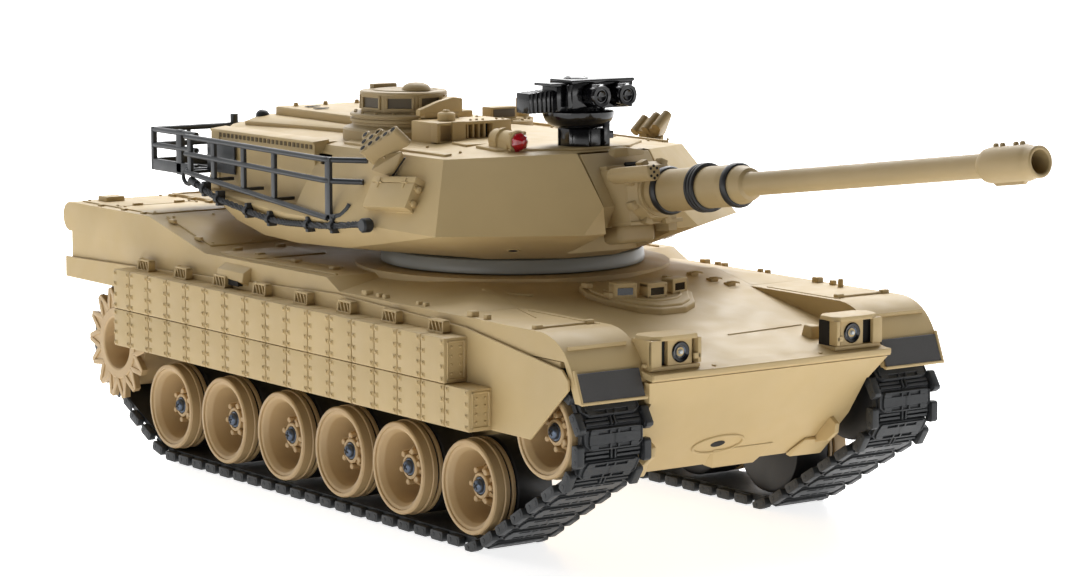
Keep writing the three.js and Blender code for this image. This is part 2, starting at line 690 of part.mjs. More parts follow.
function smokeLauncher() {
  const pod = hull([
    [-65.8, -2.1, 122.8], [-60.4, 3.8, 128.4], [-58.4, -15.4, 131.6], [-59.4, -14.6, 130.4],
    [-63.4, -4.5, 116.5], [-57.4, 2.4, 120], [-55.7, -15.1, 124.3], [-54.6, -9, 125],
  ]);
  const foot = hull([
    [-62, -6, 116.3], [-56.4, 0.5, 119.6], [-55.9, -14.8, 123.6], [-59, -6, 122],
    [-57.2, -9.9, 114.3], [-54, -13, 121], [-54, -4, 119], [-54, -10, 119],
  ]);
  return cut(join(pod, foot), turretOutside);
}
addPair('smoke_launcher', smokeLauncher(), TAN);

const RAIL_X = -66;
const RAIL = 1.7; // thickness of a basket rail
const POST_Y = [17, 53, 74, 95, 112];
const RAIL_REAR_Y = 114.5;
function sideBasket() {
  const top = (y) => 119 + (y - 17) * 0.012;
  const middle = (y) => 111.7 + (y - 17) * 0.022;
  const bottom = (y) => 98.8 + (y - 17) * 0.085;
  const rails = [top, middle, bottom].map((height) =>
    bar([RAIL_X, POST_Y[0], height(POST_Y[0])], [RAIL_X, RAIL_REAR_Y, height(RAIL_REAR_Y)], RAIL));
  const posts = POST_Y.map((y) =>
    bar([RAIL_X, y, bottom(y) - 0.6], [RAIL_X, y, top(y) + 0.6], RAIL));
  const wraps = [
    bar([RAIL_X, 17, top(17)], [-56.4, 6, top(17)], RAIL),
    bar([RAIL_X, 17, middle(17)], [-58.8, 6, middle(17)], RAIL),
  ];
  const floor = hull([
    [RAIL_X, 40, 101.3], [RAIL_X, 114, 107], [-56.8, 40, 101.3], [-56.8, 114, 107],
    [RAIL_X, 40, 102.3], [RAIL_X, 114, 108], [-56.8, 40, 102.3], [-56.8, 114, 108],
  ]);
  return cut(join(rails[0], rails[1], rails[2], ...posts, ...wraps, floor), turretOutside);
}
addPair('side_basket', sideBasket(), BASKET_GREY);

function rearRack() {
  const halfWidth = 60;
  const [front, rear] = [117, 149];
  const railHeights = [120.2, 114.4, 107];
  const loops = railHeights.map((z, index) => join(
    bar([-halfWidth, front, z], [-halfWidth, rear, z], RAIL),
    bar([halfWidth, front, z], [halfWidth, rear, z], RAIL),
    bar([-halfWidth - 0.8, rear, z], [halfWidth + 0.8, rear, z], RAIL, index === 2 ? 4.4 : RAIL),
  ));
  const posts = [-halfWidth, -22, 22, halfWidth].flatMap((x) => [
    bar([x, rear, 105], [x, rear, Math.abs(x) < 30 ? 124 : 121], RAIL),
  ]);
  const sides = [-halfWidth, halfWidth].map((x) =>
    box(x - 0.9, x + 0.9, 127, 131, 104.6, 121.4));
  const floor = box(-halfWidth, halfWidth, 127.5, rear, 104.8, 106);
  const stays = [-36, 36].map((x) => bar([x, 124.6, 105.6], [x, 130, 105.6], 2.4));
  return cut(join(...loops, ...posts, ...sides, floor, ...stays), turretOutside);
}
add('rear_rack', rearRack(), BASKET_GREY);

function towCable() {
  // Distance along the turret and height of the points it passes through.
  const route = [
    [112.3, 103.4], [104.3, 102], [90, 99.4], [75.3, 97.2], [60, 95.4], [45, 94.8], [33, 95.3],
    [16.2, 96.2], [-0.4, 98.2], [-9.4, 98.9],
  ];
  const reach = (y, z) => -(z > 98.2 ? 66.5 : 64.5) - 1.6 + (y > 80 ? (y - 80) * 0.12 : 0);
  const path = new THREE.CatmullRomCurve3(
    route.map(([y, z]) => new THREE.Vector3(reach(y, z), y, z)));
  const section = new THREE.Shape();
  section.absarc(0, 0, 1.15, 0, 2 * Math.PI, false);
  const geometry = new THREE.ExtrudeGeometry(section, {
    steps: 20, curveSegments: 3, bevelEnabled: false, extrudePath: path,
  });
  const eye = turnedAt([[0, -1.4], [2.9, -1.4], [2.9, 1.4], [0, 1.4]], 14, 'x',
    reach(-10, 99), -10.4, 99);
  return cut(join(solid(geometry), eye), turretOutside);
}
addPair('tow_cable', towCable(), TRACK_BLACK);

const PERISCOPE = { x: -0.5, y: -42, radius: 8.7, topZ: 131 };
add('sight_pedestal', cut(
  turnedAt([[0, 118], [PERISCOPE.radius, 118], [PERISCOPE.radius, PERISCOPE.topZ], [0, PERISCOPE.topZ]],
    8, 'z', PERISCOPE.x, PERISCOPE.y, 0),
  turretOutside,
), SIGHT_BLACK);

function binocularSight() {
  const base = PERISCOPE.topZ + GAP;
  const bowl = turnedAt([[0, base], [8.4, base], [12.2, base + 4.2], [12.2, base + 5.2],
    [9, base + 6.8], [0, base + 6.8]], 20, 'z', -1.6, -41, 0);
  const body = box(-9.3, 16.4, -48, -36, 137.7, 147.4);
  const neck = box(-14, -8, -45.7, -37, 137, 146);
  const bellows = box(-24.2, -13, -44, -36.5, 136.7, 144);
  const lens = (x) => turnedAt(
    [[0, -9], [2.6, -9], [2.6, -12], [4.1, -12], [4.1, 0], [0, 0]], 16, 'y', x, -42, 142.3);
  return join(bowl, body, neck, bellows, lens(-1.1), lens(9.9));
}
add('binocular_sight', binocularSight(), SIGHT_BLACK);

// ---------------------------------------------------------------- gun

// The gun is drawn level, pointing along -Y from its trunnion, then raised.
const gun = new THREE.Group();
gun.position.set(0, TRUNNION.y, TRUNNION.z);
gun.rotation.x = -GUN_ELEVATION;
tank.add(gun);

const alongGun = (profile, segments) => turned(profile.map(([r, s]) => [r, -s]), segments, 'y');

function mantlet() {
  const halfWidth = SLOT.halfWidth - 0.6;
  const rotor = hull(bothSides([
    [halfWidth, 6, 8], [halfWidth, 6, -8], [halfWidth, 4.6, 14.1], [halfWidth, 0.5, 14.3],
    [halfWidth, -10.5, -3.9], [halfWidth, -5, -10.9], [halfWidth, 2, -10.9],
  ]));
  const block = box(-9.8, 9.8, -18.1, -2, -10.6, 8.3);
  const shelf = box(-9.8, 12, -18.1, -4, -10.6, -9.4);
  const coaxial = turnedAt([[0, -34], [2.7, -34], [2.7, -10], [0, -10]], 12, 'y', -10.5, 0, 6.2);
  const chin = box(-7.8, 7.8, -9, 1, -16.6, -10);
  const collar = alongGun([[8, 17.4], [10.6, 17.4], [9.4, 21.9], [8, 21.9], [8, 17.4]], 8);
  return join(rotor, block, shelf, coaxial, chin, collar);
}
add('gun_mantlet', mantlet(), TAN, gun);

add('gun_barrel', alongGun(
  [
    [0, 185], [3.6, 185], [3.6, 203], [4.75, 203], [4.75, 199.6], [5.4, 197.6], [5.4, 182],
    [3.7, 179.5], [3.8, 70.5], [5.6, 69], [6.2, 66.4], [6.2, 60.8], [6.8, 59.6],
    [7, 18.4], [0, 18.4],
  ],
  20,
), TAN, gun);

// Rubber bands round the gun's sleeve, by distance from the trunnion.
const BANDS = [
  { start: 26.6, length: 2.8, inner: 7.3, outer: 8.1 },
  { start: 45.2, length: 4.6, inner: 7.3, outer: 8.1 },
  { start: 62.8, length: 2.8, inner: 6.6, outer: 7.4 },
];
BANDS.forEach(({ start, length, inner, outer }, index) => {
  const ring = alongGun(
    [
      [inner, start], [outer, start + 0.3], [outer, start + length - 0.3],
      [inner, start + length], [inner, start],
    ],
    20,
  );
  add(`barrel_band_${index + 1}`, ring, RUBBER, gun);
});

export default tank;
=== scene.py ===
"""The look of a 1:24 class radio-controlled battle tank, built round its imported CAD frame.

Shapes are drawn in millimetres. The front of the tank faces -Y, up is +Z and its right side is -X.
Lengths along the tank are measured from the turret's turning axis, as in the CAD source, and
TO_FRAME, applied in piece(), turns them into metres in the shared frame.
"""

import json
import math

import bmesh
import bpy
from mathutils import Matrix, Vector
from mathutils.bvhtree import BVHTree


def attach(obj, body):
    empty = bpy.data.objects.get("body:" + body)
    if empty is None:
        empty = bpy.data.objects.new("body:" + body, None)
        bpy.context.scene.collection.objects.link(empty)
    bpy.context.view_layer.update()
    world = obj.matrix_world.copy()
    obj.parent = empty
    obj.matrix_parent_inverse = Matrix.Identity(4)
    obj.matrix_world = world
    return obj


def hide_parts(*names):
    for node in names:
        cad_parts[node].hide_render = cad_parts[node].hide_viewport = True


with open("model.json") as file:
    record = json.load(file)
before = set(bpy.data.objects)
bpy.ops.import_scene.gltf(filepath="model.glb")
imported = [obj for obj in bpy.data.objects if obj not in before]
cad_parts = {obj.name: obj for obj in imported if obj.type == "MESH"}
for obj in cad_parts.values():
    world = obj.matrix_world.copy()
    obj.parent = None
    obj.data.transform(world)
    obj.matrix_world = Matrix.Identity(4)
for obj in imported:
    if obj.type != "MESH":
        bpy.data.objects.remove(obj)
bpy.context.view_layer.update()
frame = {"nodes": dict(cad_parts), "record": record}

TURRET_AXIS_Y = 34.75
TO_FRAME = Matrix.Scale(0.001, 4) @ Matrix.Translation((0, TURRET_AXIS_Y, 0))


# ------------------------------------------------------------------ shapes


class Shape:
    """Corner points in millimetres and the faces between them."""

    def __init__(self, points=(), faces=()):
        self.points = [Vector(p) for p in points]
        self.faces = [tuple(f) for f in faces]

    def __add__(self, other):
        start = len(self.points)
        faces = [tuple(i + start for i in f) for f in other.faces]
        return Shape(self.points + other.points, self.faces + faces)

    def moved(self, matrix):
        flip = matrix.determinant() < 0
        faces = [tuple(reversed(f)) for f in self.faces] if flip else self.faces
        return Shape([matrix @ p for p in self.points], faces)

    def shifted(self, x, y, z):
        return self.moved(Matrix.Translation((x, y, z)))

    def mirrored(self):
        return self.moved(Matrix.Scale(-1, 4, (1, 0, 0)))

    def turned(self, degrees, axis, centre=(0, 0, 0)):
        there = Matrix.Translation(centre)
        spin = Matrix.Rotation(math.radians(degrees), 4, axis)
        return self.moved(there @ spin @ there.inverted())

    def bevelled(self, width, segments=2, angle=28):
        return shape_of(bevel_mesh(mesh_from(self), width, segments, angle))


def gather(shapes):
    total = Shape()
    for shape in shapes:
        start = len(total.points)
        total.points.extend(shape.points)
        total.faces.extend(tuple(i + start for i in f) for f in shape.faces)
    return total


def mesh_from(shape):
    bm = bmesh.new()
    corners = [bm.verts.new(p) for p in shape.points]
    for face in shape.faces:
        bm.faces.new([corners[i] for i in face])
    bmesh.ops.recalc_face_normals(bm, faces=bm.faces)
    return bm


def shape_of(bm):
    bm.verts.index_update()
    made = Shape([v.co.copy() for v in bm.verts], [[v.index for v in f.verts] for f in bm.faces])
    bm.free()
    return made


def bevel_mesh(bm, width, segments, angle):
    limit = math.radians(angle)
    edges = [e for e in bm.edges if len(e.link_faces) == 2 and e.calc_face_angle(0) > limit]
    if edges:
        bmesh.ops.bevel(
            bm, geom=edges, offset=width, segments=segments, profile=0.6,
            affect="EDGES", clamp_overlap=True, loop_slide=True,
        )
    return bm


def block(x0, x1, y0, y1, z0, z1, bevel=0.0, segments=2):
    points = [(x, y, z) for x in (x0, x1) for y in (y0, y1) for z in (z0, z1)]
    faces = [(0, 1, 3, 2), (4, 6, 7, 5), (0, 4, 5, 1), (2, 3, 7, 6), (0, 2, 6, 4), (1, 5, 7, 3)]
    shape = Shape(points, faces)
    return shape.bevelled(bevel, segments) if bevel else shape


def hull(points, bevel=0.0, segments=2):
    """The convex solid round these points."""
    bm = bmesh.new()
    for p in points:
        bm.verts.new(p)
    made = bmesh.ops.convex_hull(bm, input=bm.verts)
    loose = {v for v in made["geom_interior"] + made["geom_unused"] if isinstance(v, bmesh.types.BMVert)}
    bmesh.ops.delete(bm, geom=list(loose), context="VERTS")
    bmesh.ops.dissolve_limit(bm, angle_limit=0.01, verts=bm.verts, edges=bm.edges)
    if bevel:
        bevel_mesh(bm, bevel, segments, 12)
    return shape_of(bm)


def prism(points, axis, low, high, bevel=0.0, segments=2):
    """A flat outline carried along an axis. Its two coordinates are the other axes, in order."""
    n = len(points)
    corners = []
    for level in (low, high):
        for a, b in points:
            corners.append({"x": (level, a, b), "y": (a, level, b), "z": (a, b, level)}[axis])
    faces = [tuple(range(n)), tuple(range(2 * n - 1, n - 1, -1))]
    faces += [(i, (i + 1) % n, (i + 1) % n + n, i + n) for i in range(n)]
    shape = Shape(corners, faces)
    return shape.bevelled(bevel, segments) if bevel else shape


def across(side, inner, outer):
    """The low and high x of a span on the right (-1) or left (1) side."""
    return sorted((side * inner, side * outer))


def circle(radius, count, start=0.0):
    step = 2 * math.pi / count
    return [(radius * math.cos(start + i * step), radius * math.sin(start + i * step)) for i in range(count)]


def ellipse(half_width, half_height, count):
    return [(half_width * x, half_height * y) for x, y in circle(1, count)]


def lathe(profile, count, axis="z"):
    """A profile of (radius, distance) points turned about an axis. A radius of 0 closes an end."""
    points = []
    rings = []
    for radius, distance in profile:
        if radius == 0:
            rings.append([len(points)])
            points.append((0, 0, distance))
            continue
        rings.append(list(range(len(points), len(points) + count)))
        points.extend((a, b, distance) for a, b in circle(radius, count))
    faces = []
    for low, high in zip(rings, rings[1:]):
        for i in range(count):
            j = (i + 1) % count
            a, b = (low[i], low[j]) if len(low) > 1 else (low[0], low[0])
            c, d = (high[j], high[i]) if len(high) > 1 else (high[0], high[0])
            face = tuple(dict.fromkeys((a, b, c, d)))
            if len(face) > 2:
                faces.append(face)
    shape = Shape(points, faces)
    turns = {
        "z": Matrix.Identity(4),
        "x": Matrix.Rotation(math.pi / 2, 4, "Y"),
        "y": Matrix.Rotation(-math.pi / 2, 4, "X"),
    }
    return shape.moved(turns[axis])


def disc(radius, low, high, count=24, axis="z", edge=0.3):
    """A closed round plate with a softened rim."""
    profile = [
        (0, low), (radius - edge, low), (radius, low + edge), (radius, high - edge), (radius - edge, high)
    ]
    return lathe(profile + [(0, high)], count, axis)


def rod(path, radius, count=8, closed=False):
    """A round bar along a path of points."""
    path = [Vector(p) for p in path]
    rings = []
    side = None
    for i, p in enumerate(path):
        before = path[i - 1] if i or closed else p
        after = path[(i + 1) % len(path)] if i + 1 < len(path) or closed else p
        heading = (after - before).normalized()
        if side is None:
            helper = Vector((0, 0, 1)) if abs(heading.z) < 0.9 else Vector((1, 0, 0))
            side = heading.cross(helper).normalized()
        side = (side - heading * side.dot(heading)).normalized()
        up = heading.cross(side)
        rings.append([p + side * a + up * b for a, b in circle(radius, count)])
    points = [p for ring in rings for p in ring]
    faces = []
    turns = len(rings) if closed else len(rings) - 1
    for r in range(turns):
        a, b = r * count, ((r + 1) % len(rings)) * count
        faces += [(a + i, a + (i + 1) % count, b + (i + 1) % count, b + i) for i in range(count)]
    if not closed:
        faces.append(tuple(range(count)))
        faces.append(tuple(range(len(points) - 1, len(points) - 1 - count, -1)))
    return Shape(points, faces)


def rounded_path(points, radius, steps=4):
    """The path with its inner corners rounded."""
    points = [Vector(p) for p in points]
    path = [points[0]]
    for before, corner, after in zip(points, points[1:], points[2:]):
        reach_in = min(radius, (before - corner).length / 2)
        reach_out = min(radius, (after - corner).length / 2)
        a = corner + (before - corner).normalized() * reach_in
        b = corner + (after - corner).normalized() * reach_out
        for i in range(steps + 1):
            t = i / steps
            path.append(a * (1 - t) ** 2 + corner * 2 * t * (1 - t) + b * t**2)
    return path + [points[-1]]


def facing(normal, origin=(0, 0, 0), up=(0, 0, 1)):
    """A matrix that stands a shape drawn along +Z on a surface with this normal."""
    n = Vector(normal).normalized()
    helper = Vector(up) if abs(n.dot(Vector(up))) < 0.95 else Vector((0, 1, 0))
    x = helper.cross(n).normalized()
    y = n.cross(x)
    basis = Matrix((x, y, n)).transposed().to_4x4()
    return Matrix.Translation(origin) @ basis


def bolt_head(radius, height, sides=8):
    profile = [(0, -0.3), (radius, -0.3), (radius, height * 0.55), (radius * 0.72, height), (0, height)]
    return lathe(profile, sides)


# ------------------------------------------------------------------ materials


def material(name, colour, roughness, grain=1400, bump=0.05, mottle=0.06, streak=0.25, **settings):
    """Moulded plastic: soft colour mottle, a fine moulded grain and an uneven sheen."""
    made = bpy.data.materials.new(name)
    made.use_nodes = True
    nodes, links = made.node_tree.nodes, made.node_tree.links
    shader = nodes["Principled BSDF"]
    for socket, value in settings.items():
        shader.inputs[socket.replace("_", " ")].default_value = value
    place = nodes.new("ShaderNodeTexCoord").outputs["Object"]

    def noise(scale, detail):
        node = nodes.new("ShaderNodeTexNoise")
        node.inputs["Scale"].default_value = scale
        node.inputs["Detail"].default_value = detail
        links.new(place, node.inputs["Vector"])
        return node.outputs["Fac"]

    def ramp(source, low, high):
        node = nodes.new("ShaderNodeMapRange")
        node.inputs["From Min"].default_value = 0.3
        node.inputs["From Max"].default_value = 0.7
        node.inputs["To Min"].default_value = low
        node.inputs["To Max"].default_value = high
        links.new(source, node.inputs["Value"])
        return node.outputs["Result"]

    mix = nodes.new("ShaderNodeMix")
    mix.data_type = "RGBA"
    mix.inputs["A"].default_value = (*[c * (1 - mottle) for c in colour], 1)
    mix.inputs["B"].default_value = (*[min(1, c * (1 + mottle)) for c in colour], 1)
    links.new(ramp(noise(28, 3), 0, 1), mix.inputs["Factor"])
    links.new(mix.outputs["Result"], shader.inputs["Base Color"])
    links.new(
        ramp(noise(130, 4), roughness * (1 - streak * 0.5), min(1, roughness * (1 + streak * 0.5))),
        shader.inputs["Roughness"],
    )
    relief = nodes.new("ShaderNodeBump")
    relief.inputs["Strength"].default_value = bump
    relief.inputs["Distance"].default_value = 0.0002
    links.new(noise(grain, 3), relief.inputs["Height"])
    links.new(relief.outputs["Normal"], shader.inputs["Normal"])
    return made


TAN = material("moulded_tan", (0.53, 0.39, 0.185), 0.55, bump=0.14)
# Painted shade: a darker copy of the one tan plastic for the cupola, smoke launchers, mantlet and gun barrel.
# It stands in for the shade those parts sit in; the real parts are the same tan as the rest.
TAN_SHADED = material("tan_painted_shade", (0.37, 0.27, 0.128), 0.55, bump=0.14)
TAN_WHEEL = material("wheel_tan", (0.50, 0.345, 0.17), 0.46, bump=0.1)
TRACK = material("track_black", (0.022, 0.024, 0.026), 0.52, grain=2200, bump=0.3)
RUBBER = material("rubber_black", (0.012, 0.012, 0.013), 0.42, grain=1800, bump=0.12)
BASKET = material("basket_grey", (0.026, 0.029, 0.032), 0.4, bump=0.15)
GLOSS = material("gloss_black", (0.005, 0.005, 0.006), 0.13, bump=0.03, mottle=0.02)
RING = material("ring_grey", (0.235, 0.235, 0.21), 0.36, bump=0.05)
FLAP = material("flap_grey", (0.065, 0.062, 0.06), 0.55, bump=0.35, mottle=0.12)
STEEL = material("screw_steel", (0.10, 0.125, 0.17), 0.3, bump=0.05, Metallic=0.7)
# Painted shade: a dark brown tan for the bustle vent slots, which are dark only from the shade in them.
VENT_SHADE = material("vent_painted_shade", (0.16, 0.12, 0.06), 0.7)
# Painted shade: a near-black finish for thin sheets, discs and blocks set where recesses, holes, slots and
# bores look dark only from shade.
SHADOW = material("painted_recess_shade", (0.012, 0.011, 0.009), 0.8, bump=0.1)
# Painted shade: a dark tan for the window panes of the cupola and the loader's scope, which are tan plastic
# that looks dark only from shade.
WINDOW_SHADE = material("window_painted_shade", (0.085, 0.062, 0.03), 0.45, bump=0.1)
LAMP_CLEAR = material("lamp_clear", (0.55, 0.6, 0.62), 0.05, bump=0.02, Coat_Weight=0.6)
LAMP_RED = material("lamp_red", (0.42, 0.004, 0.012), 0.07, bump=0.02, Coat_Weight=0.8)
BOARD = material("board_green", (0.02, 0.11, 0.05), 0.45)
WRAP = material("battery_wrap", (0.03, 0.07, 0.16), 0.35)
WHITE = material("gearbox_white", (0.6, 0.59, 0.55), 0.45)

SLOT_MATERIALS = {
    "tan_plastic": TAN, "track_plastic": TRACK, "black_rubber": RUBBER, "basket_plastic": BASKET,
    "sight_plastic": GLOSS, "ring_plastic": RING, "flap_plastic": FLAP, "clear_lens": LAMP_CLEAR,
    "red_lens": LAMP_RED, "board_green": BOARD, "battery_wrap": WRAP, "gearbox_plastic": WHITE,
}
SLOT_OF = {row["node"]: row["material_slot"] for row in frame["record"]["subparts"]}
for node_name, node in frame["nodes"].items():
    node.data.materials.clear()
    node.data.materials.append(SLOT_MATERIALS[SLOT_OF[node_name]])


def piece(name, shape, body, slot, finish=None, replaces=(), sharp=32):
    """Makes a shape into an object that rides on a body."""
    bm = mesh_from(shape)
    bm.transform(TO_FRAME)
    return from_mesh(name, bm, body, slot, finish, replaces, sharp)


def from_mesh(name, bm, body, slot, finish, replaces, sharp):
    mesh = bpy.data.meshes.new(name)
    bm.to_mesh(mesh)
    bm.free()
    mesh.materials.append(finish or SLOT_MATERIALS[slot])
    mesh.shade_smooth()
    mesh.set_sharp_from_angle(angle=math.radians(sharp))
    made = bpy.data.objects.new(name, mesh)
    bpy.context.scene.collection.objects.link(made)
    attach(made, body)
    if replaces:
        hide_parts(*replaces)
    return made


def refined(node, name, body, bevel, segments=3, angle=14, extra=None, sharp=32):
    """Rebuilds a CAD node's own shape with softened edges, and adds what is moulded on it."""
    slot = SLOT_OF[node]
    bm = bmesh.new()
    bm.from_mesh(frame["nodes"][node].data)
    bmesh.ops.remove_doubles(bm, verts=bm.verts, dist=2e-6)
    flat = math.radians(0.4)
    bmesh.ops.dissolve_limit(bm, angle_limit=flat, verts=bm.verts, edges=bm.edges)
    bevel_mesh(bm, bevel / 1000, segments, angle)
    if extra is not None:
        more = mesh_from(extra)
        more.transform(TO_FRAME)
        spare = bpy.data.meshes.new("spare")
        more.to_mesh(spare)
        more.free()
        bm.from_mesh(spare)
        bpy.data.meshes.remove(spare)
    return from_mesh(name, bm, body, slot, None, [node], sharp)


def both(name, shape, body, slot, finish=None, nodes=(), sharp=32):
    """A piece on the right side and its mirror image on the left."""
    for side, made in (("right", shape), ("left", shape.mirrored())):
        piece(f"{name}_{side}", made, body, slot, finish, [f"{n}_{side}" for n in nodes], sharp)


# ------------------------------------------------------------------ running gear

WHEEL_R = 16.0
WHEEL_Z = 20.5
WHEEL_Y = (-79.3, -37.9, -1.4, 37.1, 76.5, 114.9)
IDLER = (-120.7, 44.0, 15.0)
SPROCKET = (153.8, 39.6, 17.0)
BELT_CLEARANCE = 0.3
BELT_THICKNESS = 4.2
LINK_PITCH = 9.8
TEETH = 14


def wheel_rim(radius):
    """The tan front of a wheel: a two-step rim, a deep dish and a boss plate. Outward is +X."""
    profile = [
        (0, 56), (radius - 1.2, 56), (radius - 1.0, 68.0), (radius - 0.1, 68.3), (radius, 68.8),
        (radius, 69.9), (radius - 0.35, 70.2), (radius - 0.35, 73.3), (radius - 0.7, 73.8),
        (radius - 1.0, 73.9), (radius - 1.75, 73.9), (radius - 1.95, 73.7), (radius - 2.0, 73.3),
        (radius - 2.8, 73.15), (radius - 3.1, 72.9), (radius - 3.5, 72.1), (radius - 3.9, 71.7),
        (radius - 4.2, 70.8), (radius - 5.0, 61.2), (radius - 5.4, 60.6), (radius - 6.2, 60.4),
        (0, 60.4),
    ]
    return lathe(profile, 72, "x")


def wheel_hub():
    """Six ribs and round bosses about a raised hub ring."""
    shapes = [
        lathe([(0, 60), (4.6, 60), (4.3, 68.9), (4.0, 69.2), (3.2, 69.2), (3.0, 68.4), (0, 68.4)], 30, "x")
    ]
    rib = prism([(0, 60), (0, 68), (5.2, 68), (6.4, 66.4), (9.4, 61.6), (9.4, 60)], "x", -0.75, 0.75, 0.2)
    rib = rib.moved(Matrix(((0, 0, 1, 0), (1, 0, 0, 0), (0, 1, 0, 0), (0, 0, 0, 1))))
    boss = lathe([(0, 60), (1.15, 60), (1.05, 68.9), (0.8, 69.2), (0, 69.2)], 12, "x").shifted(0, 0, 5.4)
    for i in range(6):
        shapes.append(boss.turned(60 * i + 12, "X"))
        shapes.append(rib.moved(Matrix.Rotation(math.radians(60 * i + 42), 4, "X")))
    return gather(shapes)


def wheel_tyre(radius):
    """The black rear of a wheel, with the dark groove behind the rim and a thin tan-backed lip."""
    profile = [
        (0, 51), (radius - 1.5, 51), (radius - 0.3, 51.6), (radius, 52.4), (radius, 64.6),
        (radius - 0.4, 65.2), (radius - 0.9, 65.4), (radius - 0.9, 68.1), (radius - 2.4, 68.2),
        (radius - 4.6, 60.2), (0, 60.2),
    ]
    return lathe(profile, 56, "x")


def cross_screw():
    """A pan-head screw on a dark washer; no cross recess is cut into it."""
    washer = lathe([(0, 68), (2.9, 68), (2.9, 69.1), (2.7, 69.3), (0, 69.3)], 28, "x")
    head = lathe([(0, 69), (2.35, 69), (2.35, 69.9), (2.0, 70.5), (1.3, 70.9), (0, 71.0)], 28, "x")
    return washer, head


# Painted shade: two thin dark arms on the screw head stand for the shade in its cross recess.
def cross_slot():
    arm = block(70.3, 71.06, -1.25, 1.25, -0.3, 0.3, 0.1)
    return arm.turned(20, "X") + arm.turned(110, "X")


def on_side(shape, side, y, z):
    """Turns a shape drawn outward along +X to face its side of the tank."""
    sign = -1 if side == "right" else 1
    turn = Matrix.Rotation(math.pi, 4, "Z") if sign < 0 else Matrix.Identity(4)
    return shape.moved(Matrix.Translation((0, y, z)) @ turn)


def wheels():
    hub = wheel_hub()
    washer, head = cross_screw()
    cross = cross_slot()
    places = [(f"road_wheel_{{}}_{i + 1}", y, WHEEL_Z, WHEEL_R) for i, y in enumerate(WHEEL_Y)]
    places.append(("idler_wheel_{}", *IDLER))
    for index, (name, y, z, radius) in enumerate(places):
        rim = wheel_rim(radius - 0.02) + hub
        tyre = wheel_tyre(radius)
        lip = lathe(
            [(radius - 2, 65.9), (radius - 0.3, 65.9), (radius - 0.1, 66.2), (radius - 0.1, 67.1),
             (radius - 0.3, 67.3), (radius - 2, 67.3), (radius - 2, 65.9)], 56, "x")
        for side in ("right", "left"):
            node = name.format(side)
            turn = 11 * len(node) + 17 * index
            spun = [s.turned(turn, "X") for s in (rim + lip, cross)]
            piece(f"{node}_rim", on_side(spun[0], side, y, z), node, "tan_plastic", TAN_WHEEL, [node])
            piece(f"{node}_tyre", on_side(tyre, side, y, z), node, "black_rubber", RUBBER)
            piece(f"{node}_screw", on_side(washer + head, side, y, z), node, "black_rubber", STEEL)
            # Painted shade: the dark cross on each screw head.
            piece(f"{node}_screw_cross_shade", on_side(spun[1], side, y, z), node, "black_rubber", SHADOW)


def tooth_ring(face, back):
    """Pointed teeth, each a raised V rim round a lower triangular pocket. Outward is +X."""
    step = 2 * math.pi / TEETH
    shapes = []
    low = face - 0.5

    def spot(turn, radius):
        return (radius * math.cos(turn * step), radius * math.sin(turn * step))

    for tooth in range(TEETH):
        tip = [spot(tooth - 0.12, 20.9), spot(tooth + 0.12, 20.9)]
        foot = [
            spot(tooth + 0.42, 15.2), spot(tooth + 0.42, 11.4), spot(tooth - 0.42, 11.4),
            spot(tooth - 0.42, 15.2),
        ]
        shapes.append(prism(tip + foot, "x", back, low))
        for sign in (-1, 1):
            v = [
                spot(tooth, 21.1), spot(tooth + sign * 0.14, 21.1), spot(tooth + sign * 0.5, 15.6),
                spot(tooth + sign * 0.5, 12.6), spot(tooth + sign * 0.38, 12.8), spot(tooth, 19.4),
            ]
            shapes.append(prism(v, "x", low - 0.4, face, 0.22))
    return gather(shapes)


def sprockets():
    y, z, _ = SPROCKET
    dish = lathe(
        [
            (0, 46), (15.6, 46), (16.6, 47), (16.6, 71.6), (15.4, 72.2), (13.8, 72.4), (13.6, 74.5),
            (13.2, 74.8), (10.4, 74.8), (9.8, 74.5), (9.5, 73.8), (8.7, 58.4), (8.2, 58), (3.4, 58),
            (3.2, 60.5), (0, 60.5),
        ],
        64, "x",
    )
    outer = tooth_ring(74.8, 72.3)
    inner = tooth_ring(48.3, 45.9)
    shaft = lathe([(0, 34), (3.2, 34), (3.2, 47), (0, 47)], 20, "x")
    for side in ("right", "left"):
        node = f"drive_sprocket_{side}"
        shape = on_side(dish + outer + inner + shaft, side, y, z)
        piece(f"{node}_wheel", shape, node, "tan_plastic", TAN_WHEEL, [node], 26)
        screw = [s.shifted(-8.4, 0, 0) for s in cross_screw()]
        piece(f"{node}_screw", on_side(screw[0] + screw[1], side, y, z), node, "black_rubber", STEEL)


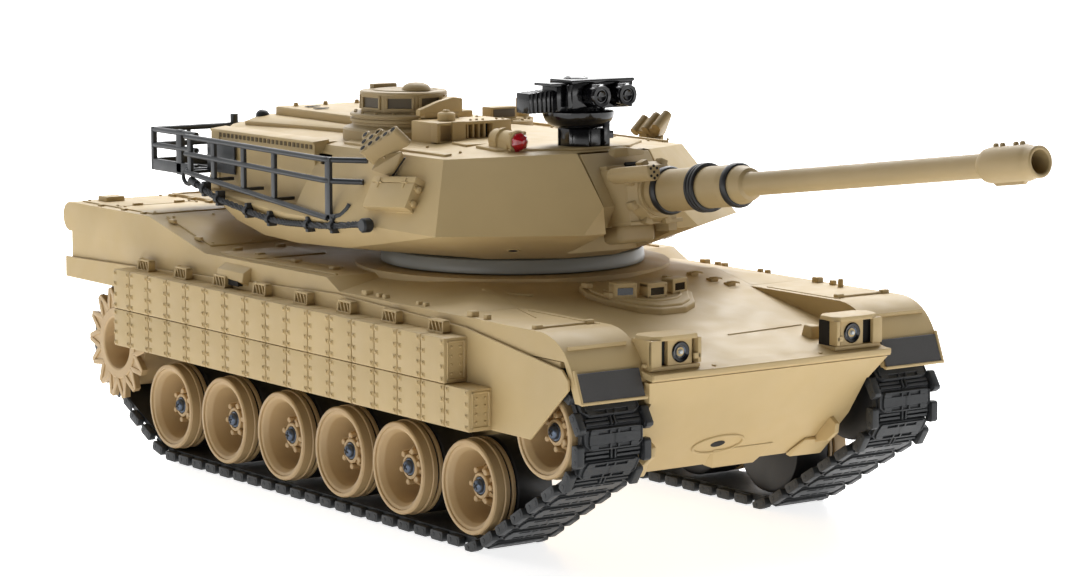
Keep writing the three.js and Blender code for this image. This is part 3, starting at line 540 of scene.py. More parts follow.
class Belt:
    """The closed path of the track: round each wheel, and straight between them."""

    def __init__(self, lift):
        wheel_list = [
            (WHEEL_Y[0], WHEEL_Z, WHEEL_R), (WHEEL_Y[5], WHEEL_Z, WHEEL_R), SPROCKET, IDLER,
        ]
        n = len(wheel_list)
        headings = []
        for i, (y, z, r) in enumerate(wheel_list):
            y2, z2, r2 = wheel_list[(i + 1) % n]
            reach = math.hypot(y2 - y, z2 - z)
            headings.append(math.atan2(z2 - z, y2 - y) - math.asin((r2 - r) / reach) - math.pi / 2)
        self.legs = []
        ends = []
        for i, (y, z, r) in enumerate(wheel_list):
            radius = r + BELT_CLEARANCE + lift
            enter, leave = headings[i - 1], headings[i]
            while leave < enter:
                leave += 2 * math.pi
            ends.append((y, z, radius, enter, leave, i == 2))
        for i, (y, z, radius, enter, leave, on_sprocket) in enumerate(ends):
            self.legs.append(("arc", y, z, radius, enter, leave, on_sprocket))
            y2, z2, radius2, enter2 = ends[(i + 1) % n][:4]
            a = (y + radius * math.cos(leave), z + radius * math.sin(leave))
            b = (y2 + radius2 * math.cos(enter2), z2 + radius2 * math.sin(enter2))
            self.legs.append(("line", a, b, leave))
        self.lengths = [
            leg[3] * (leg[5] - leg[4]) if leg[0] == "arc" else math.dist(leg[1], leg[2]) for leg in self.legs
        ]
        self.total = sum(self.lengths)

    def at(self, s):
        """Place (y, z), outward angle and whether the sprocket carries it, at a distance along the path."""
        s %= self.total
        for leg, length in zip(self.legs, self.lengths):
            if s <= length:
                break
            s -= length
        if leg[0] == "arc":
            angle = leg[4] + s / leg[3]
            return leg[1] + leg[3] * math.cos(angle), leg[2] + leg[3] * math.sin(angle), angle, leg[6]
        t = s / length
        y = leg[1][0] + t * (leg[2][0] - leg[1][0])
        z = leg[1][1] + t * (leg[2][1] - leg[1][1])
        return y, z, leg[3], y > 140


TRACK_MIDDLE = 60.25
PAD_HALF_WIDTH = 10.9


def track_link(outer_reach):
    """One shoe and the connector behind it. X is across, Y along the belt and Z away from the wheels."""
    w = PAD_HALF_WIDTH
    shapes = [
        block(-w - 0.6, w + 0.6, -4.9, 4.9, 0.3, 2.2),
        prism([(-w, -3.1), (-w + 2.2, -3.5), (w - 2.2, -3.5), (w, -3.1), (w, 1.6), (w - 2.2, 3.4),
               (-w + 2.2, 3.4), (-w, 1.6)], "z", 1.6, 3.55, 0.25, 1),
    ]
    top = 4.2
    layer = 3.5
    rim = [
        (-w + 2.2, w - 2.2, 2.75, 3.3), (-w + 1.8, w - 1.8, -3.4, -2.85),
        (-w + 1.2, w - 1.2, -1.75, 1.55),
    ]
    for x0, x1, y0, y1 in rim:
        shapes.append(block(x0, x1, y0, y1, layer, top, 0.12, 1))
    for y0, y1 in ((1.45, 2.85), (-2.95, -1.65)):
        shapes.append(block(-1.9, -1.2, y0, y1, layer, top, 0.1, 1))
        shapes.append(block(1.2, 1.9, y0, y1, layer, top, 0.1, 1))
        for sign in (-1, 1):
            shapes.append(block(*across(sign, 6.3, 9.4), y0, y1, layer, top, 0.1, 1))
    shapes.append(block(-0.35, 0.35, -1.7, 1.6, layer, top, 0.08, 1))
    for sign in (-1, 1):
        shapes.append(
            rod([(sign * w, -2.9, 3.55), (sign * w, 1.5, 3.55), (sign * (w - 2.1), 3.1, 3.75)], 0.34, 5)
        )
    dot = lathe([(0, 0), (0.62, 0), (0.5, 0.26), (0.2, 0.34), (0, 0.34)], 8)
    for sign in (-1, 1):
        for x, stretch in ((4.0, 1.9), (6.8, 1.0), (8.6, 1.0)):
            shapes.append(
                dot.moved(Matrix.Diagonal((stretch, 1.0, 1.0, 1.0))).shifted(sign * x, -0.1, top - 0.34)
            )
    for y in (4.2, 5.6):
        shapes.append(block(-w + 0.4, -1.5, y - 0.45, y + 0.45, 1.8, 3.1, 0.15, 1))
        shapes.append(block(1.5, w - 0.4, y - 0.45, y + 0.45, 1.8, 3.1, 0.15, 1))
    for x in (-0.75, 0.75):
        shapes.append(block(x - 0.3, x + 0.3, 3.3, 6.3, 1.8, 3.5, 0.12, 1))
    shapes.append(connector(-14.4, -11.7))
    shapes.append(connector(11.7, outer_reach))
    return gather(shapes)


def connector(x0, x1):
    """A rounded end block over the joint between two shoes."""
    side = [(1.6, 0.7), (8.2, 0.7), (8.5, 1.3), (8.5, 3.3), (7.8, 4.1), (2.0, 4.1), (1.3, 3.3), (1.3, 1.3)]
    shape = prism(side, "x", x0, x1, 0.35, 2)
    pin = lathe(
        [(0, x0 - 0.12), (0.8, x0 - 0.12), (0.9, x0), (0.9, x1), (0.8, x1 + 0.12), (0, x1 + 0.12)], 8, "x"
    )
    return shape + pin.shifted(0, 3.0, 2.3) + pin.shifted(0, 6.8, 2.3)


def tracks():
    lift = BELT_THICKNESS / 2
    belt = Belt(lift)
    count = round(belt.total / LINK_PITCH)
    normal = track_link(14.35)
    short = track_link(11.9)
    shapes = []
    for i in range(count):
        y, z, angle, on_sprocket = belt.at((i + 0.3) * belt.total / count)
        ny, nz = math.cos(angle), math.sin(angle)
        place = Matrix((
            (1, 0, 0, -TRACK_MIDDLE), (0, -nz, ny, y - lift * ny), (0, ny, nz, z - lift * nz), (0, 0, 0, 1),
        ))
        link = short if on_sprocket else normal
        outward = Matrix.Scale(-1, 4, (1, 0, 0))
        shapes.append(link.moved(place @ outward))
    both("track_links", gather(shapes), "hull", "track_plastic", nodes=["track"], sharp=40)


# ------------------------------------------------------------------ side skirts

SKIRT_PANEL = [
    (190.8, 61.4), (190.8, 69.2), (140, 70.6), (-3, 75.6), (-81, 73.2), (-133.8, 66), (-137.2, 63),
    (-137.2, 60), (-117.1, 41.8), (136.5, 41.8), (136.5, 56), (142, 61.4),
]
BRICK_REAR_Y = 136.5
BRICK_FIRST = 12.2
BRICK_PITCH = 13.79
BRICK_ROWS = ((41.9, 55.62, 17), (55.8, 70.4, 16))
BRICK_FACE = 85.1


def brick_seams(columns):
    return [BRICK_REAR_Y - BRICK_FIRST - BRICK_PITCH * i for i in range(columns)]


def brick(length, bottom, top):
    """One armour block: softened edges, with scalloped bolt pads down both ends of its face."""
    shapes = [block(-BRICK_FACE, -75.5, -length + 0.25, -0.25, bottom, top, 0.4, 2)]
    rows = 4
    step = (top - bottom - 2.6) / (rows - 1)
    head = bolt_head(0.62, 0.6, 8).moved(facing((-1, 0, 0)))
    tab = block(-0.2, 0.3, -0.95, 0.95, -0.8, 0.8, 0.14, 1)
    for i in range(rows):
        z = bottom + 1.3 + step * i
        for y in (-1.5, -length + 1.5):
            shapes.append(head.shifted(-BRICK_FACE, y, z))
            shapes.append(tab.shifted(-BRICK_FACE, y, z))
    return gather(shapes)


def hanger_clip():
    """A small bracket with three slanted fins and a gusset, standing on its base at z 0."""
    shapes = [
        block(-1.6, 1.6, -4.4, 4.4, -0.4, 0.5, 0.12, 1),
        block(-1.4, 1.4, -4.4, -3.6, 0, 4.0, 0.15, 1),
        prism([(-1.5, 0), (1.5, 0), (1.2, 4.3), (0, 4.4), (-1.2, 3.0)], "y", 3.4, 4.4, 0.15, 1),
        block(-1.2, 1.2, -4.4, 4.0, 3.5, 4.2, 0.15, 1),
    ]
    for i in range(3):
        fin = prism(
            [(-2.9 + i * 2.1, 0.3), (-2.3 + i * 2.1, 0.3), (-0.9 + i * 2.1, 3.7), (-1.5 + i * 2.1, 3.7)],
            "x", -1.0, 1.0,
        )
        shapes.append(fin)
    return gather(shapes)


def skirts():
    shapes = [prism(SKIRT_PANEL, "x", -76.2, -75.3, 0.2, 1)]
    for bottom, top, columns in BRICK_ROWS:
        first = brick(BRICK_FIRST, bottom, top)
        rest = brick(BRICK_PITCH, bottom, top)
        shapes.append(first.shifted(0, BRICK_REAR_Y, 0))
        for seam in brick_seams(columns - 1):
            shapes.append(rest.shifted(0, seam, 0))
        front = brick_seams(columns)[-1]
        shapes.append(brick_end(front, bottom, top))
    clip = hanger_clip()
    for seam in brick_seams(16)[0:15:2]:
        shapes.append(clip.shifted(-78.3, seam - 0.6, BRICK_ROWS[1][1] + 0.1))
    both("skirt", gather(shapes), "hull", "tan_plastic", nodes=["side_skirt"])


def brick_end(y, bottom, top):
    """The front end of a row: a raised round-cornered frame with a column of studs in it."""
    shapes = []
    x0, x1 = -84.0, -77.0
    for a, b, c, d in ((x0, x1, bottom + 0.9, bottom + 1.5), (x0, x1, top - 1.5, top - 0.9),
                       (x0, x0 + 0.6, bottom + 0.9, top - 0.9), (x1 - 0.6, x1, bottom + 0.9, top - 0.9)):
        shapes.append(block(a, b, y - 0.15, y + 0.3, c, d, 0.14, 1))
    head = bolt_head(0.45, 0.45, 8).moved(facing((0, -1, 0)))
    for i in range(4):
        z = bottom + 3.0 + i * (top - bottom - 6.0) / 3
        shapes.append(head.shifted(-82.2, y + 0.18, z))
        shapes.append(head.shifted(-78.8, y + 0.18, z))
    return gather(shapes)


wheels()
sprockets()
tracks()
skirts()


# ------------------------------------------------------------------ hull

GLACIS_REAR = (-52.0, 80.4)
GLACIS_FRONT = (-144.8, 62.8)
GLACIS_SLOPE = (GLACIS_REAR[1] - GLACIS_FRONT[1]) / (GLACIS_REAR[0] - GLACIS_FRONT[0])
FENDER_TOP = 76.3
FENDER_HINGE_Y = -115.2
RING_DECK_Z = 80.4
DECK_LINE = ((4, 80.4), (86, 80.4), (127, 90.2), (188.8, 90.2))


def glacis_z(y):
    return GLACIS_REAR[1] + (y - GLACIS_REAR[0]) * GLACIS_SLOPE


def deck_z(y):
    for (y0, z0), (y1, z1) in zip(DECK_LINE, DECK_LINE[1:]):
        if y <= y1:
            return z0 + (z1 - z0) * (y - y0) / (y1 - y0)
    return DECK_LINE[-1][1]


def deck_plate(x0, x1, y0, y1, rise=0.5, bevel=0.25):
    """A thin plate that follows the rear deck."""
    stops = [y0] + [y for y, _ in DECK_LINE if y0 < y < y1] + [y1]
    top = [(y, deck_z(y) + rise) for y in stops]
    foot = [(y, deck_z(y) - 0.6) for y in reversed(stops)]
    return prism(top + foot, "x", x0, x1, bevel, 2)


def deck_hinge(x, y, along="y", size=2.0):
    """A small hinge knuckle, drawn as one softened block."""
    z = deck_z(y) + 0.5
    if along == "y":
        return block(x - 0.8, x + 0.8, y - size, y + size, z - 0.4, z + 0.9, 0.3, 2)
    return block(x - size, x + size, y - 0.8, y + 0.8, z - 0.4, z + 0.9, 0.3, 2)


def deck_bolts(spots, rise=0.5):
    head = bolt_head(0.62, 0.45, 8)
    return [head.shifted(x, y, deck_z(y) + rise) for x, y in spots]


def deck_grille(x0, x1, y0, y1, bars):
    """A framed grille of slats across the deck."""
    z = deck_z((y0 + y1) / 2)
    shapes = [
        block(x0, x1, y0, y0 + 1.4, z - 0.5, z + 1.1, 0.3),
        block(x0, x1, y1 - 1.4, y1, z - 0.5, z + 1.1, 0.3),
        block(x0, x0 + 1.4, y0, y1, z - 0.5, z + 1.1, 0.3),
        block(x1 - 1.4, x1, y0, y1, z - 0.5, z + 1.1, 0.3),
    ]
    step = (y1 - y0 - 2.8) / bars
    for i in range(bars):
        y = y0 + 1.4 + step * (i + 0.5)
        slat = block(x0 + 1.2, x1 - 1.2, y - step * 0.3, y + step * 0.3, z - 0.4, z + 0.25, 0.12, 1)
        shapes.append(slat.turned(24, "X", (0, y, z)))
    return gather(shapes)


def engine_deck():
    """Panels with hinges and bolts round the two grilles."""
    shapes = []
    for sign in (-1, 1):
        shapes.append(deck_plate(*across(sign, 36, 71), 131, 158))
        shapes.append(deck_plate(*across(sign, 36, 71), 159.4, 186))
        shapes.append(deck_plate(*across(sign, 31, 69), 92, 124.5, 0.6))
        shapes.append(deck_plate(*across(sign, 8, 29.6), 96, 124.5, 0.6))
        shapes.append(deck_plate(*across(sign, 40, 70), 60, 84.5, 0.4))
        for y in (137, 152, 165, 180):
            shapes.append(deck_hinge(sign * 35, y))
        for y in (99, 118):
            shapes.append(deck_hinge(sign * 70, y))
            shapes.append(deck_hinge(sign * 30.3, y))
        for x in (44, 62):
            shapes.append(deck_hinge(sign * x, 158.7, "x"))
            shapes.append(deck_hinge(sign * x, 84.8, "x", 1.8))
        bolts = [(sign * x, y) for x in (38, 69) for y in (133, 156, 161.5, 184)]
        bolts += [(sign * x, y) for x in (33, 50, 67) for y in (94, 122.6)]
        shapes += deck_bolts(bolts)
    shapes.append(deck_plate(-33, 33, 131, 141.5))
    shapes.append(deck_grille(-32, -1, 143, 186, 13))
    shapes.append(deck_grille(1, 32, 143, 186, 13))
    shapes += deck_bolts([(x, y) for x in (-30, -10, 10, 30) for y in (133, 139.6)])
    shapes.append(block(-66, -58, 176, 183, 90, 92.6, 0.6, 2))
    for x in (-72.6, 72.6):
        for y in (135, 150, 168):
            shapes.append(block(x - 0.9, x + 0.9, y - 1.2, y + 1.2, 89.8, 91.0, 0.3, 2))
    piece("engine_deck_panels", gather(shapes), "hull", "tan_plastic")
    # Painted shade: dark sheets under the grille slats, and dark patches in front of the two middle deck
    # plates, stand for the shade in them.
    dark = [
        block(-31.4, -1.6, 143.6, 185.4, 89.6, 90.32), block(1.6, 31.4, 143.6, 185.4, 89.6, 90.32),
        *[block(*across(s, 10.5, 28), 88.6, 93.6, 80, 82.1) for s in (-1, 1)],
    ]
    piece("engine_deck_shade", gather(dark), "hull", "tan_plastic", SHADOW)


def deck_strips():
    """Ridges, seams and small fittings on the flat deck and fenders beside the turret."""
    z = RING_DECK_Z
    shapes = []
    for sign in (-1, 1):
        shapes.append(rod([(sign * 68, 80, z + 0.1), (sign * 57, 22, z + 0.1)], 0.45, 8))
        shapes.append(rod([(sign * 71.5, 80, z + 0.1), (sign * 69.5, 6, z + 0.1)], 0.45, 8))
        for y in (70, 45, 20):
            shapes.append(block(*across(sign, 60, 63), y - 1.5, y + 1.5, z - 0.3, z + 1.0, 0.35))
    return shapes


def fender_fittings():
    """The hinge line of the front mud guard, a row of knobs, a lifting handle and a post."""
    z = FENDER_TOP
    shapes = deck_strips()
    hinge = block(-1.6, 1.6, -1.0, 1.0, -0.4, 1.1, 0.35)
    for sign in (-1, 1):
        ends = [(sign * x, FENDER_HINGE_Y, z + 0.25) for x in (73, 50.5)]
        shapes.append(rod(ends, 0.5, 8))
        shapes += [hinge.shifted(sign * x, FENDER_HINGE_Y, z + 0.2) for x in (72, 52)]
        shapes.append(block(*across(sign, 50.5, 73.4), -133.2, -132.5, 71.6, 72.9, 0.2, 1))
        shapes.append(block(*across(sign, 49.8, 50.5), -118, -80, z - 0.3, z + 0.25, 0.1, 1))
    for y, wide in (
        (-17.9, 1.5), (-25.3, 1.0), (-29.3, 1.0), (-49.2, 0.9), (-53.3, 0.9), (-80.3, 1.5), (-88.5, 1.0)
    ):
        for sign in (-1, 1):
            knob = block(-wide, wide, -wide, wide, -0.3, 1.1 + wide * 0.5, 0.45, 3)
            shapes.append(knob.shifted(sign * 72.4, y, z))
    post = lathe([(0, -0.3), (1.0, -0.3), (1.0, 2.0), (0.8, 2.8), (0, 2.9)], 12)
    shapes.append(post.shifted(70.6, -94.5, z))
    shapes.append(
        rod(
            rounded_path(
                [(-38.5, -50.5, 78.6), (-43.5, -53, 79.6), (-43, -60, 78.8), (-37, -64, 78.6)], 2.5
            ),
            0.45, 8,
        ),
    )
    shapes.append(block(-42.5, -37, -57.8, -54.6, 77.6, 79.3, 0.4, 2))
    shapes.append(rod([(-58.3, -95.3, z + 0.1), (-50.0, -73, z + 0.1)], 0.22, 6))
    return shapes


def glacis_fittings():
    """The seam, hooks, horn and screws on the sloping front plate."""
    shapes = [rod([(3.3, -116.8, glacis_z(-116.8) + 0.05), (35.8, -115.0, glacis_z(-115) + 0.05)], 0.3, 6)]
    for x, y in ((35.5, -57.5), (38.2, -65), (41.2, -70.8)):
        z = glacis_z(y)
        shapes.append(block(x - 1.8, x + 1.6, y - 1.3, y + 1.5, z - 0.4, z + 0.9, 0.35, 2))
        shapes.append(
            rod(
                rounded_path(
                    [(x - 1.4, y, z + 0.9), (x - 0.4, y - 2.4, z + 1.4), (x + 2.4, y - 2.0, z + 0.7)], 1
                ),
                0.35, 6,
            ),
        )
    y, z = -126.0, glacis_z(-126.0)
    shapes.append(
        hull(
            [
                (28.6, y - 2.6, z - 0.5), (33.6, y - 2.6, z - 0.5), (28.6, y + 2.6, z), (33.6, y + 2.6, z),
                (29.2, y - 1.8, z + 3.6), (33.0, y - 1.8, z + 3.6), (29.2, y + 1.8, z + 4.0),
                (33.0, y + 1.8, z + 4.0),
            ],
            0.5,
        ),
    )
    shapes.append(rod([(33, y - 1, z + 1.2), (41, y - 9, z + 1.6)], 0.45, 8))
    shapes.append(block(-49.0, 49.0, -145.2, -143.2, 61.4, 63.3, 0.35, 2))
    for x, y in ((-44.5, -137), (44.5, -137), (-22, -141.2), (22, -141.2)):
        shapes.append(bolt_head(0.8, 0.4, 10).shifted(x, y, glacis_z(y)))
    for sign in (-1, 1):
        shapes.append(block(*across(sign, 46.2, 49.0), -140.2, -138.6, 64.8, 66.0, 0.3))
    return shapes


HATCH_RIM = [(-17.5, -63), (-19.8, -70), (-18, -79), (-12, -88.5), (-5, -92.6),
             (5, -92.6), (12, -88.5), (18, -79), (19.8, -70), (17.5, -63)]


def drivers_hatch():
    """A rounded raised plate with a lip, and three framed vision blocks behind it."""
    def slab(scale, low, high):
        rim = [(x * scale, -76 + (y + 76) * scale) for x, y in HATCH_RIM]
        return [(x, y, glacis_z(y) + level) for x, y in rim for level in (low, high)]
    shapes = [
        hull(slab(1.0, -1.5, 1.9), 0.7, 3),
        hull(slab(0.9, 1.0, 2.7), 0.6, 3),
    ]
    glass = []
    for x, y, turn in ((-10.8, -78.5, -16), (0, -81.0, 0), (10.8, -78.5, 16)):
        z = glacis_z(y) + 2.2
        lens = block(-3.1, 3.1, -2.45, -1.2, 0.7, 3.2)
        frame_parts = [
            block(-4.1, 4.1, -2.6, 2.4, 3.2, 4.9, 0.5, 3), block(-4.1, 4.1, -2.6, 2.4, -0.8, 0.9, 0.3, 2),
            block(-4.1, -2.7, -2.6, 2.4, -0.6, 4.7, 0.4, 3), block(2.7, 4.1, -2.6, 2.4, -0.6, 4.7, 0.4, 3),
            block(-3.8, 3.8, -0.9, 2.2, -0.6, 4.5, 0.3, 2),
        ]
        place = Matrix.Translation((x, y, z)) @ Matrix.Rotation(math.radians(turn), 4, "Z")
        shapes += [part.moved(place) for part in frame_parts]
        glass.append(lens.moved(place))
    for x, y in ((-17.0, -67), (17.0, -67), (-16, -78)):
        shapes.append(block(x - 1.3, x + 1.3, y - 1.6, y + 1.6, glacis_z(y) + 2.2, glacis_z(y) + 3.9, 0.4, 2))
    lip = [
        (x, y, glacis_z(y) + 2.75)
        for x, y in (
            (-13.6, -72), (-12.4, -80), (-8, -85.6), (0, -87.4), (8, -85.6), (12.4, -80), (13.6, -72)
        )
    ]
    shapes.append(rod(rounded_path(lip, 4), 0.5, 8))
    piece("driver_hatch_plate", gather(shapes), "hull", "tan_plastic", replaces=["driver_hatch"])
    piece("driver_vision_glass", gather(glass), "hull", "sight_plastic", GLOSS)


LAMP_X = -35.4
LAMP_Z = 69.0
FORWARD = (0, -1, 0)


def lamp_guards():
    """Each headlamp sits in a square pod between a curved bracket and a hasp, under a cut-corner cover."""
    cover = [
        (-48.2, -134), (-46.8, -140.4), (-43.4, -142.2), (-29.4, -142.2), (-27.6, -140), (-27.6, -134),
        (-31, -131), (-45, -131),
    ]
    top = hull([(x, y, 73.0 + (y + 142) * 0.05) for x, y in cover]
               + [(x * 0.96 - 1.5, y * 0.985 - 2.0, 74.6) for x, y in cover], 0.4, 2)
    pod = hull(
        [
            (x, y, z)
            for x in (-40.4, -30.6)
            for y, z in ((-141.0, 64.6), (-141.0, 73.2), (-132, 66.5), (-132, 73.2))
        ],
        0.5, 2,
    )
    bracket = prism(
        [(-142.0, 66.0), (-141.0, 64.4), (-136.5, 64.0), (-131.5, 66), (-131.5, 73.4), (-142.0, 73.4)], "x",
        -47.6, -45.4, 0.5, 2,
    )
    flange = block(-47.6, -43.6, -142.2, -140.6, 65.0, 73.4, 0.4, 2)
    hasp = block(-29.4, -28.0, -142.4, -138.4, 65.2, 73.3, 0.35, 2) + block(
        -30.8, -28.2, -142.4, -141.4, 66.6, 68.4, 0.3, 2
    )
    foot = block(-47.4, -27.8, -141.6, -132.5, 63.6, 65.0, 0.4, 2)
    bezel = lathe([(1.9, -2.0), (3.3, -2.0), (3.4, 0.3), (3.0, 0.55), (2.0, 0.2), (1.9, -2.0)], 36)
    rim = bezel.moved(facing(FORWARD, (LAMP_X, -141.0, LAMP_Z)))
    guard = gather([top, pod, bracket, flange, hasp, foot])
    both("headlamp_guard", guard, "hull", "tan_plastic", nodes=["headlight_guard"])
    both("headlamp_bezel", rim, "hull", "sight_plastic", GLOSS)
    dish = lathe([(0, -0.6), (0.8, -0.5), (1.5, -0.2), (1.9, 0.1), (1.9, -1.0), (0, -1.0)], 32)
    both("headlamp_dish", dish.moved(facing(FORWARD, (LAMP_X, -141.2, LAMP_Z))), "hull", "clear_lens", STEEL)
    bulb = lathe([(0, -0.9), (0.8, -0.9), (0.8, 0.0), (0.6, 0.5), (0, 0.7)], 18)
    both(
        "headlamp_lens", bulb.moved(facing(FORWARD, (LAMP_X, -141.2, LAMP_Z))), "hull", "clear_lens",
        nodes=["headlight_lens"],
    )
    # Painted shade: a dark block in the hollow under each lamp cover, between the bracket and the hasp.
    shade = block(-45.5, -28.2, -139.4, -133, 64.8, 73.0)
    both("headlamp_shade", shade, "hull", "tan_plastic", SHADOW)


PLATE_TOP = (-129.3, 40.1)
PLATE_FOOT = (-115, 26)
PLATE_NORMAL = Vector((0, PLATE_FOOT[1] - PLATE_TOP[1], PLATE_TOP[0] - PLATE_FOOT[0])).normalized()
EMBOSS = (-5.9, -123.2, 34.1)
HOOK_X = 38.2


def front_plate():
    """The emboss, tow hooks and scalloped edge on the lower front plate."""
    place = facing(PLATE_NORMAL, EMBOSS)
    ring = [(x, y, 0.1) for x, y in ellipse(10.2, 4.6, 36)]
    shapes = [rod(ring, 0.5, 8, closed=True).moved(place)]
    # A thin dark oval: painted shade for the hole in the emboss.
    hole = prism(ellipse(2.88, 1.62, 20), "z", -0.4, 0.12).moved(place)
    for sign in (-1, 1):
        hook = prism(
            [(-128.0, 39.6), (-131.4, 37.4), (-131.0, 34.2), (-126.8, 31.0), (-118.5, 29.0), (-121, 34)],
            "x", -0.9, 0.9, 0.4, 3,
        )
        shapes.append(hook.shifted(sign * HOOK_X, 0, 0))
        shapes.append(
            hull(
                [
                    (sign * 44.0, -121, 31.5), (sign * 44.0, -115.2, 25.4), (sign * 29, -115.2, 25.8),
                    (sign * 33, -121, 31.7), (sign * 44.0, -116, 24.6), (sign * 30.5, -116, 24.8),
                    (sign * 44.0, -122, 30.4), (sign * 32.5, -121.5, 31),
                ],
                0.3,
            ),
        )
    shapes.append(
        hull(
            [
                (-6, -121.0, 31.6), (20, -121.0, 31.6), (-2, -115.6, 24.4), (15, -115.6, 24.4),
                (-5, -114, 25.6), (19, -114, 25.6),
            ],
            0.4,
        ),
    )
    piece("front_plate_fittings", gather(shapes), "hull", "tan_plastic")
    # Painted shade: the dark oval inside the emboss ring.
    piece("front_plate_hole_shade", hole, "hull", "tan_plastic", SHADOW)


def hull_side():
    """The vent box on each hull side."""
    body = hull(
        [
            (-74.6, 53.6, 78.8), (-74.6, 71.6, 79.0), (-78.4, 53.6, 76.6), (-78.4, 71.6, 76.8),
            (-78.8, 53.6, 73.4), (-78.8, 71.6, 74.6), (-74.6, 53.6, 71.2), (-74.6, 71.6, 74.0),
            (-76.5, 56, 72.2),
        ],
        0.5, 3,
    )
    both("side_vent", body, "hull", "tan_plastic")
    # Painted shade: a dark block in each vent mouth stands for the shade inside it.
    both("side_vent_mouth_shade", block(-78.3, -74.8, 57.5, 70.8, 71.6, 74.4), "hull", "tan_plastic", SHADOW)


REAR_WALL_Y = 187.5
LOUVRES = 9
LOUVRE_PITCH = 2.35
LOUVRE_TILT = -25


def rear_face():
    """The louvred rear panel, lamps, towing eyes and a round cover below."""
    y = REAR_WALL_Y
    shapes = [
        block(-45, 45, y + 0.3, y + 3.0, 75.4, 77.0, 0.3), block(-45, 45, y + 0.3, y + 3.0, 52, 53.6, 0.3),
        block(-45, -43, y + 0.3, y + 3.0, 52, 77, 0.3), block(43, 45, y + 0.3, y + 3.0, 52, 77, 0.3),
        block(-0.8, 0.8, y + 0.3, y + 3.0, 52, 77, 0.3), block(-23, -21.6, y + 0.3, y + 2.8, 52, 77, 0.3),
        block(21.6, 23, y + 0.3, y + 2.8, 52, 77, 0.3),
    ]
    for i in range(LOUVRES):
        z = 54.8 + i * LOUVRE_PITCH
        slat = block(-43.5, 43.5, y + 0.6, y + 2.2, z - 0.55, z + 0.55, 0.15, 1)
        shapes.append(slat.turned(LOUVRE_TILT, "X", (0, y + 1.4, z)))
    piece("rear_louvres", gather(shapes), "hull", "tan_plastic", replaces=["rear_grille"])
    # Painted shade: a dark sheet behind the louvres.
    piece("rear_louvre_shade", block(-43.4, 43.4, y + 0.1, y + 0.7, 53, 76), "hull", "tan_plastic", SHADOW)
    fittings = []
    for sign in (-1, 1):
        lamp = lathe([(0, -0.3), (2.6, -0.3), (2.6, 1.6), (2.2, 2.0), (1.9, 1.4), (0, 1.4)], 28)
        fittings.append(lamp.moved(facing((0, 1, 0), (sign * 57, y, 72))))
        fittings.append(block(*across(sign, 51, 63), y - 0.3, y + 1.0, 67.6, 76.4, 0.4))
        eye = rounded_path(
            [
                (sign * 26, y - 4, 46), (sign * 26, y + 1.5, 46), (sign * 26, y + 1.5, 41),
                (sign * 26, y - 6, 41),
            ],
            2,
        )
        fittings.append(rod(eye, 1.0, 10))
    fittings.append(disc(4.2, 0, 1.6, 32).moved(facing((0, 1, 0.3), (0, 180.5, 42))))
    piece("rear_fittings", gather(fittings), "hull", "tan_plastic")


def flaps():
    """The rubber sheets hanging from the front of the fenders, with their frames."""
    face = [(-138.0, 64.9), (-138.7, 65.1), (-142.2, 56.6), (-141.3, 56.4)]
    both(
        "mud_flap_sheet", prism(face, "x", -74.0, -49.9, 0.15, 1), "hull", "flap_plastic",
        nodes=["mud_flap"],
    )
    lip = prism([(-141.2, 56.8), (-142.6, 56.5), (-142.6, 55.6), (-141.0, 55.8)], "x", -74.9, -49.2, 0.25, 2)
    frame_side = prism([(-137.6, 66), (-138.6, 66.2), (-142.6, 56), (-141, 55.8)], "x", -75.0, -74.0, 0.3, 2)
    both("mud_flap_lip", lip + frame_side, "hull", "tan_plastic")


refined("upper_hull", "upper_hull_shell", "hull", 0.55, extra=gather(fender_fittings() + glacis_fittings()))
refined("lower_hull", "lower_hull_tub", "hull", 0.5)
engine_deck()
drivers_hatch()
lamp_guards()
front_plate()
hull_side()
rear_face()
flaps()
# ------------------------------------------------------------------ turret shell and roof


def surface_of(node):
    """A lookup of a CAD node's skin, in millimetres."""
    bm = bmesh.new()
    bm.from_mesh(frame["nodes"][node].data)
    bm.transform(TO_FRAME.inverted())
    found = BVHTree.FromBMesh(bm)
    bm.free()
    return found


TURRET_SKIN = surface_of("turret_shell")


def roof_z(x, y):
    return TURRET_SKIN.ray_cast(Vector((x, y, 200)), Vector((0, 0, -1)))[0].z


def roof_panel(outline, lift, bevel=0.3):
    """A plate that follows the roof."""
    points = []
    for x, y in outline:
        z = roof_z(x, y)
        points += [(x, y, z - 0.6), (x, y, z + lift)]
    return hull(points, bevel)


BUSTLE_SIDE_X = 56.2
VENT_COUNT = 23
VENT_START_Y = 42.5
VENT_PITCH = 2.85
WALL_NORMAL = Vector((-0.881, 0, 0.474)).normalized()
WALL_UP = Vector((0.474, 0, 0.881)).normalized()


def wall_place(y, z, forward_rise=0.0):
    """Local x runs forward along the slanting side wall, y up it and z out of it."""
    along = Vector((0, -math.cos(forward_rise), math.sin(forward_rise) * WALL_UP.z))
    along += Vector((math.sin(forward_rise) * WALL_UP.x, 0, 0))
    along.normalize()
    up = WALL_NORMAL.cross(along)
    basis = Matrix((along, up, WALL_NORMAL)).transposed().to_4x4()
    x = -(51.4 + (121.8 - z) * 0.5375)
    return Matrix.Translation((x, y, z)) @ basis


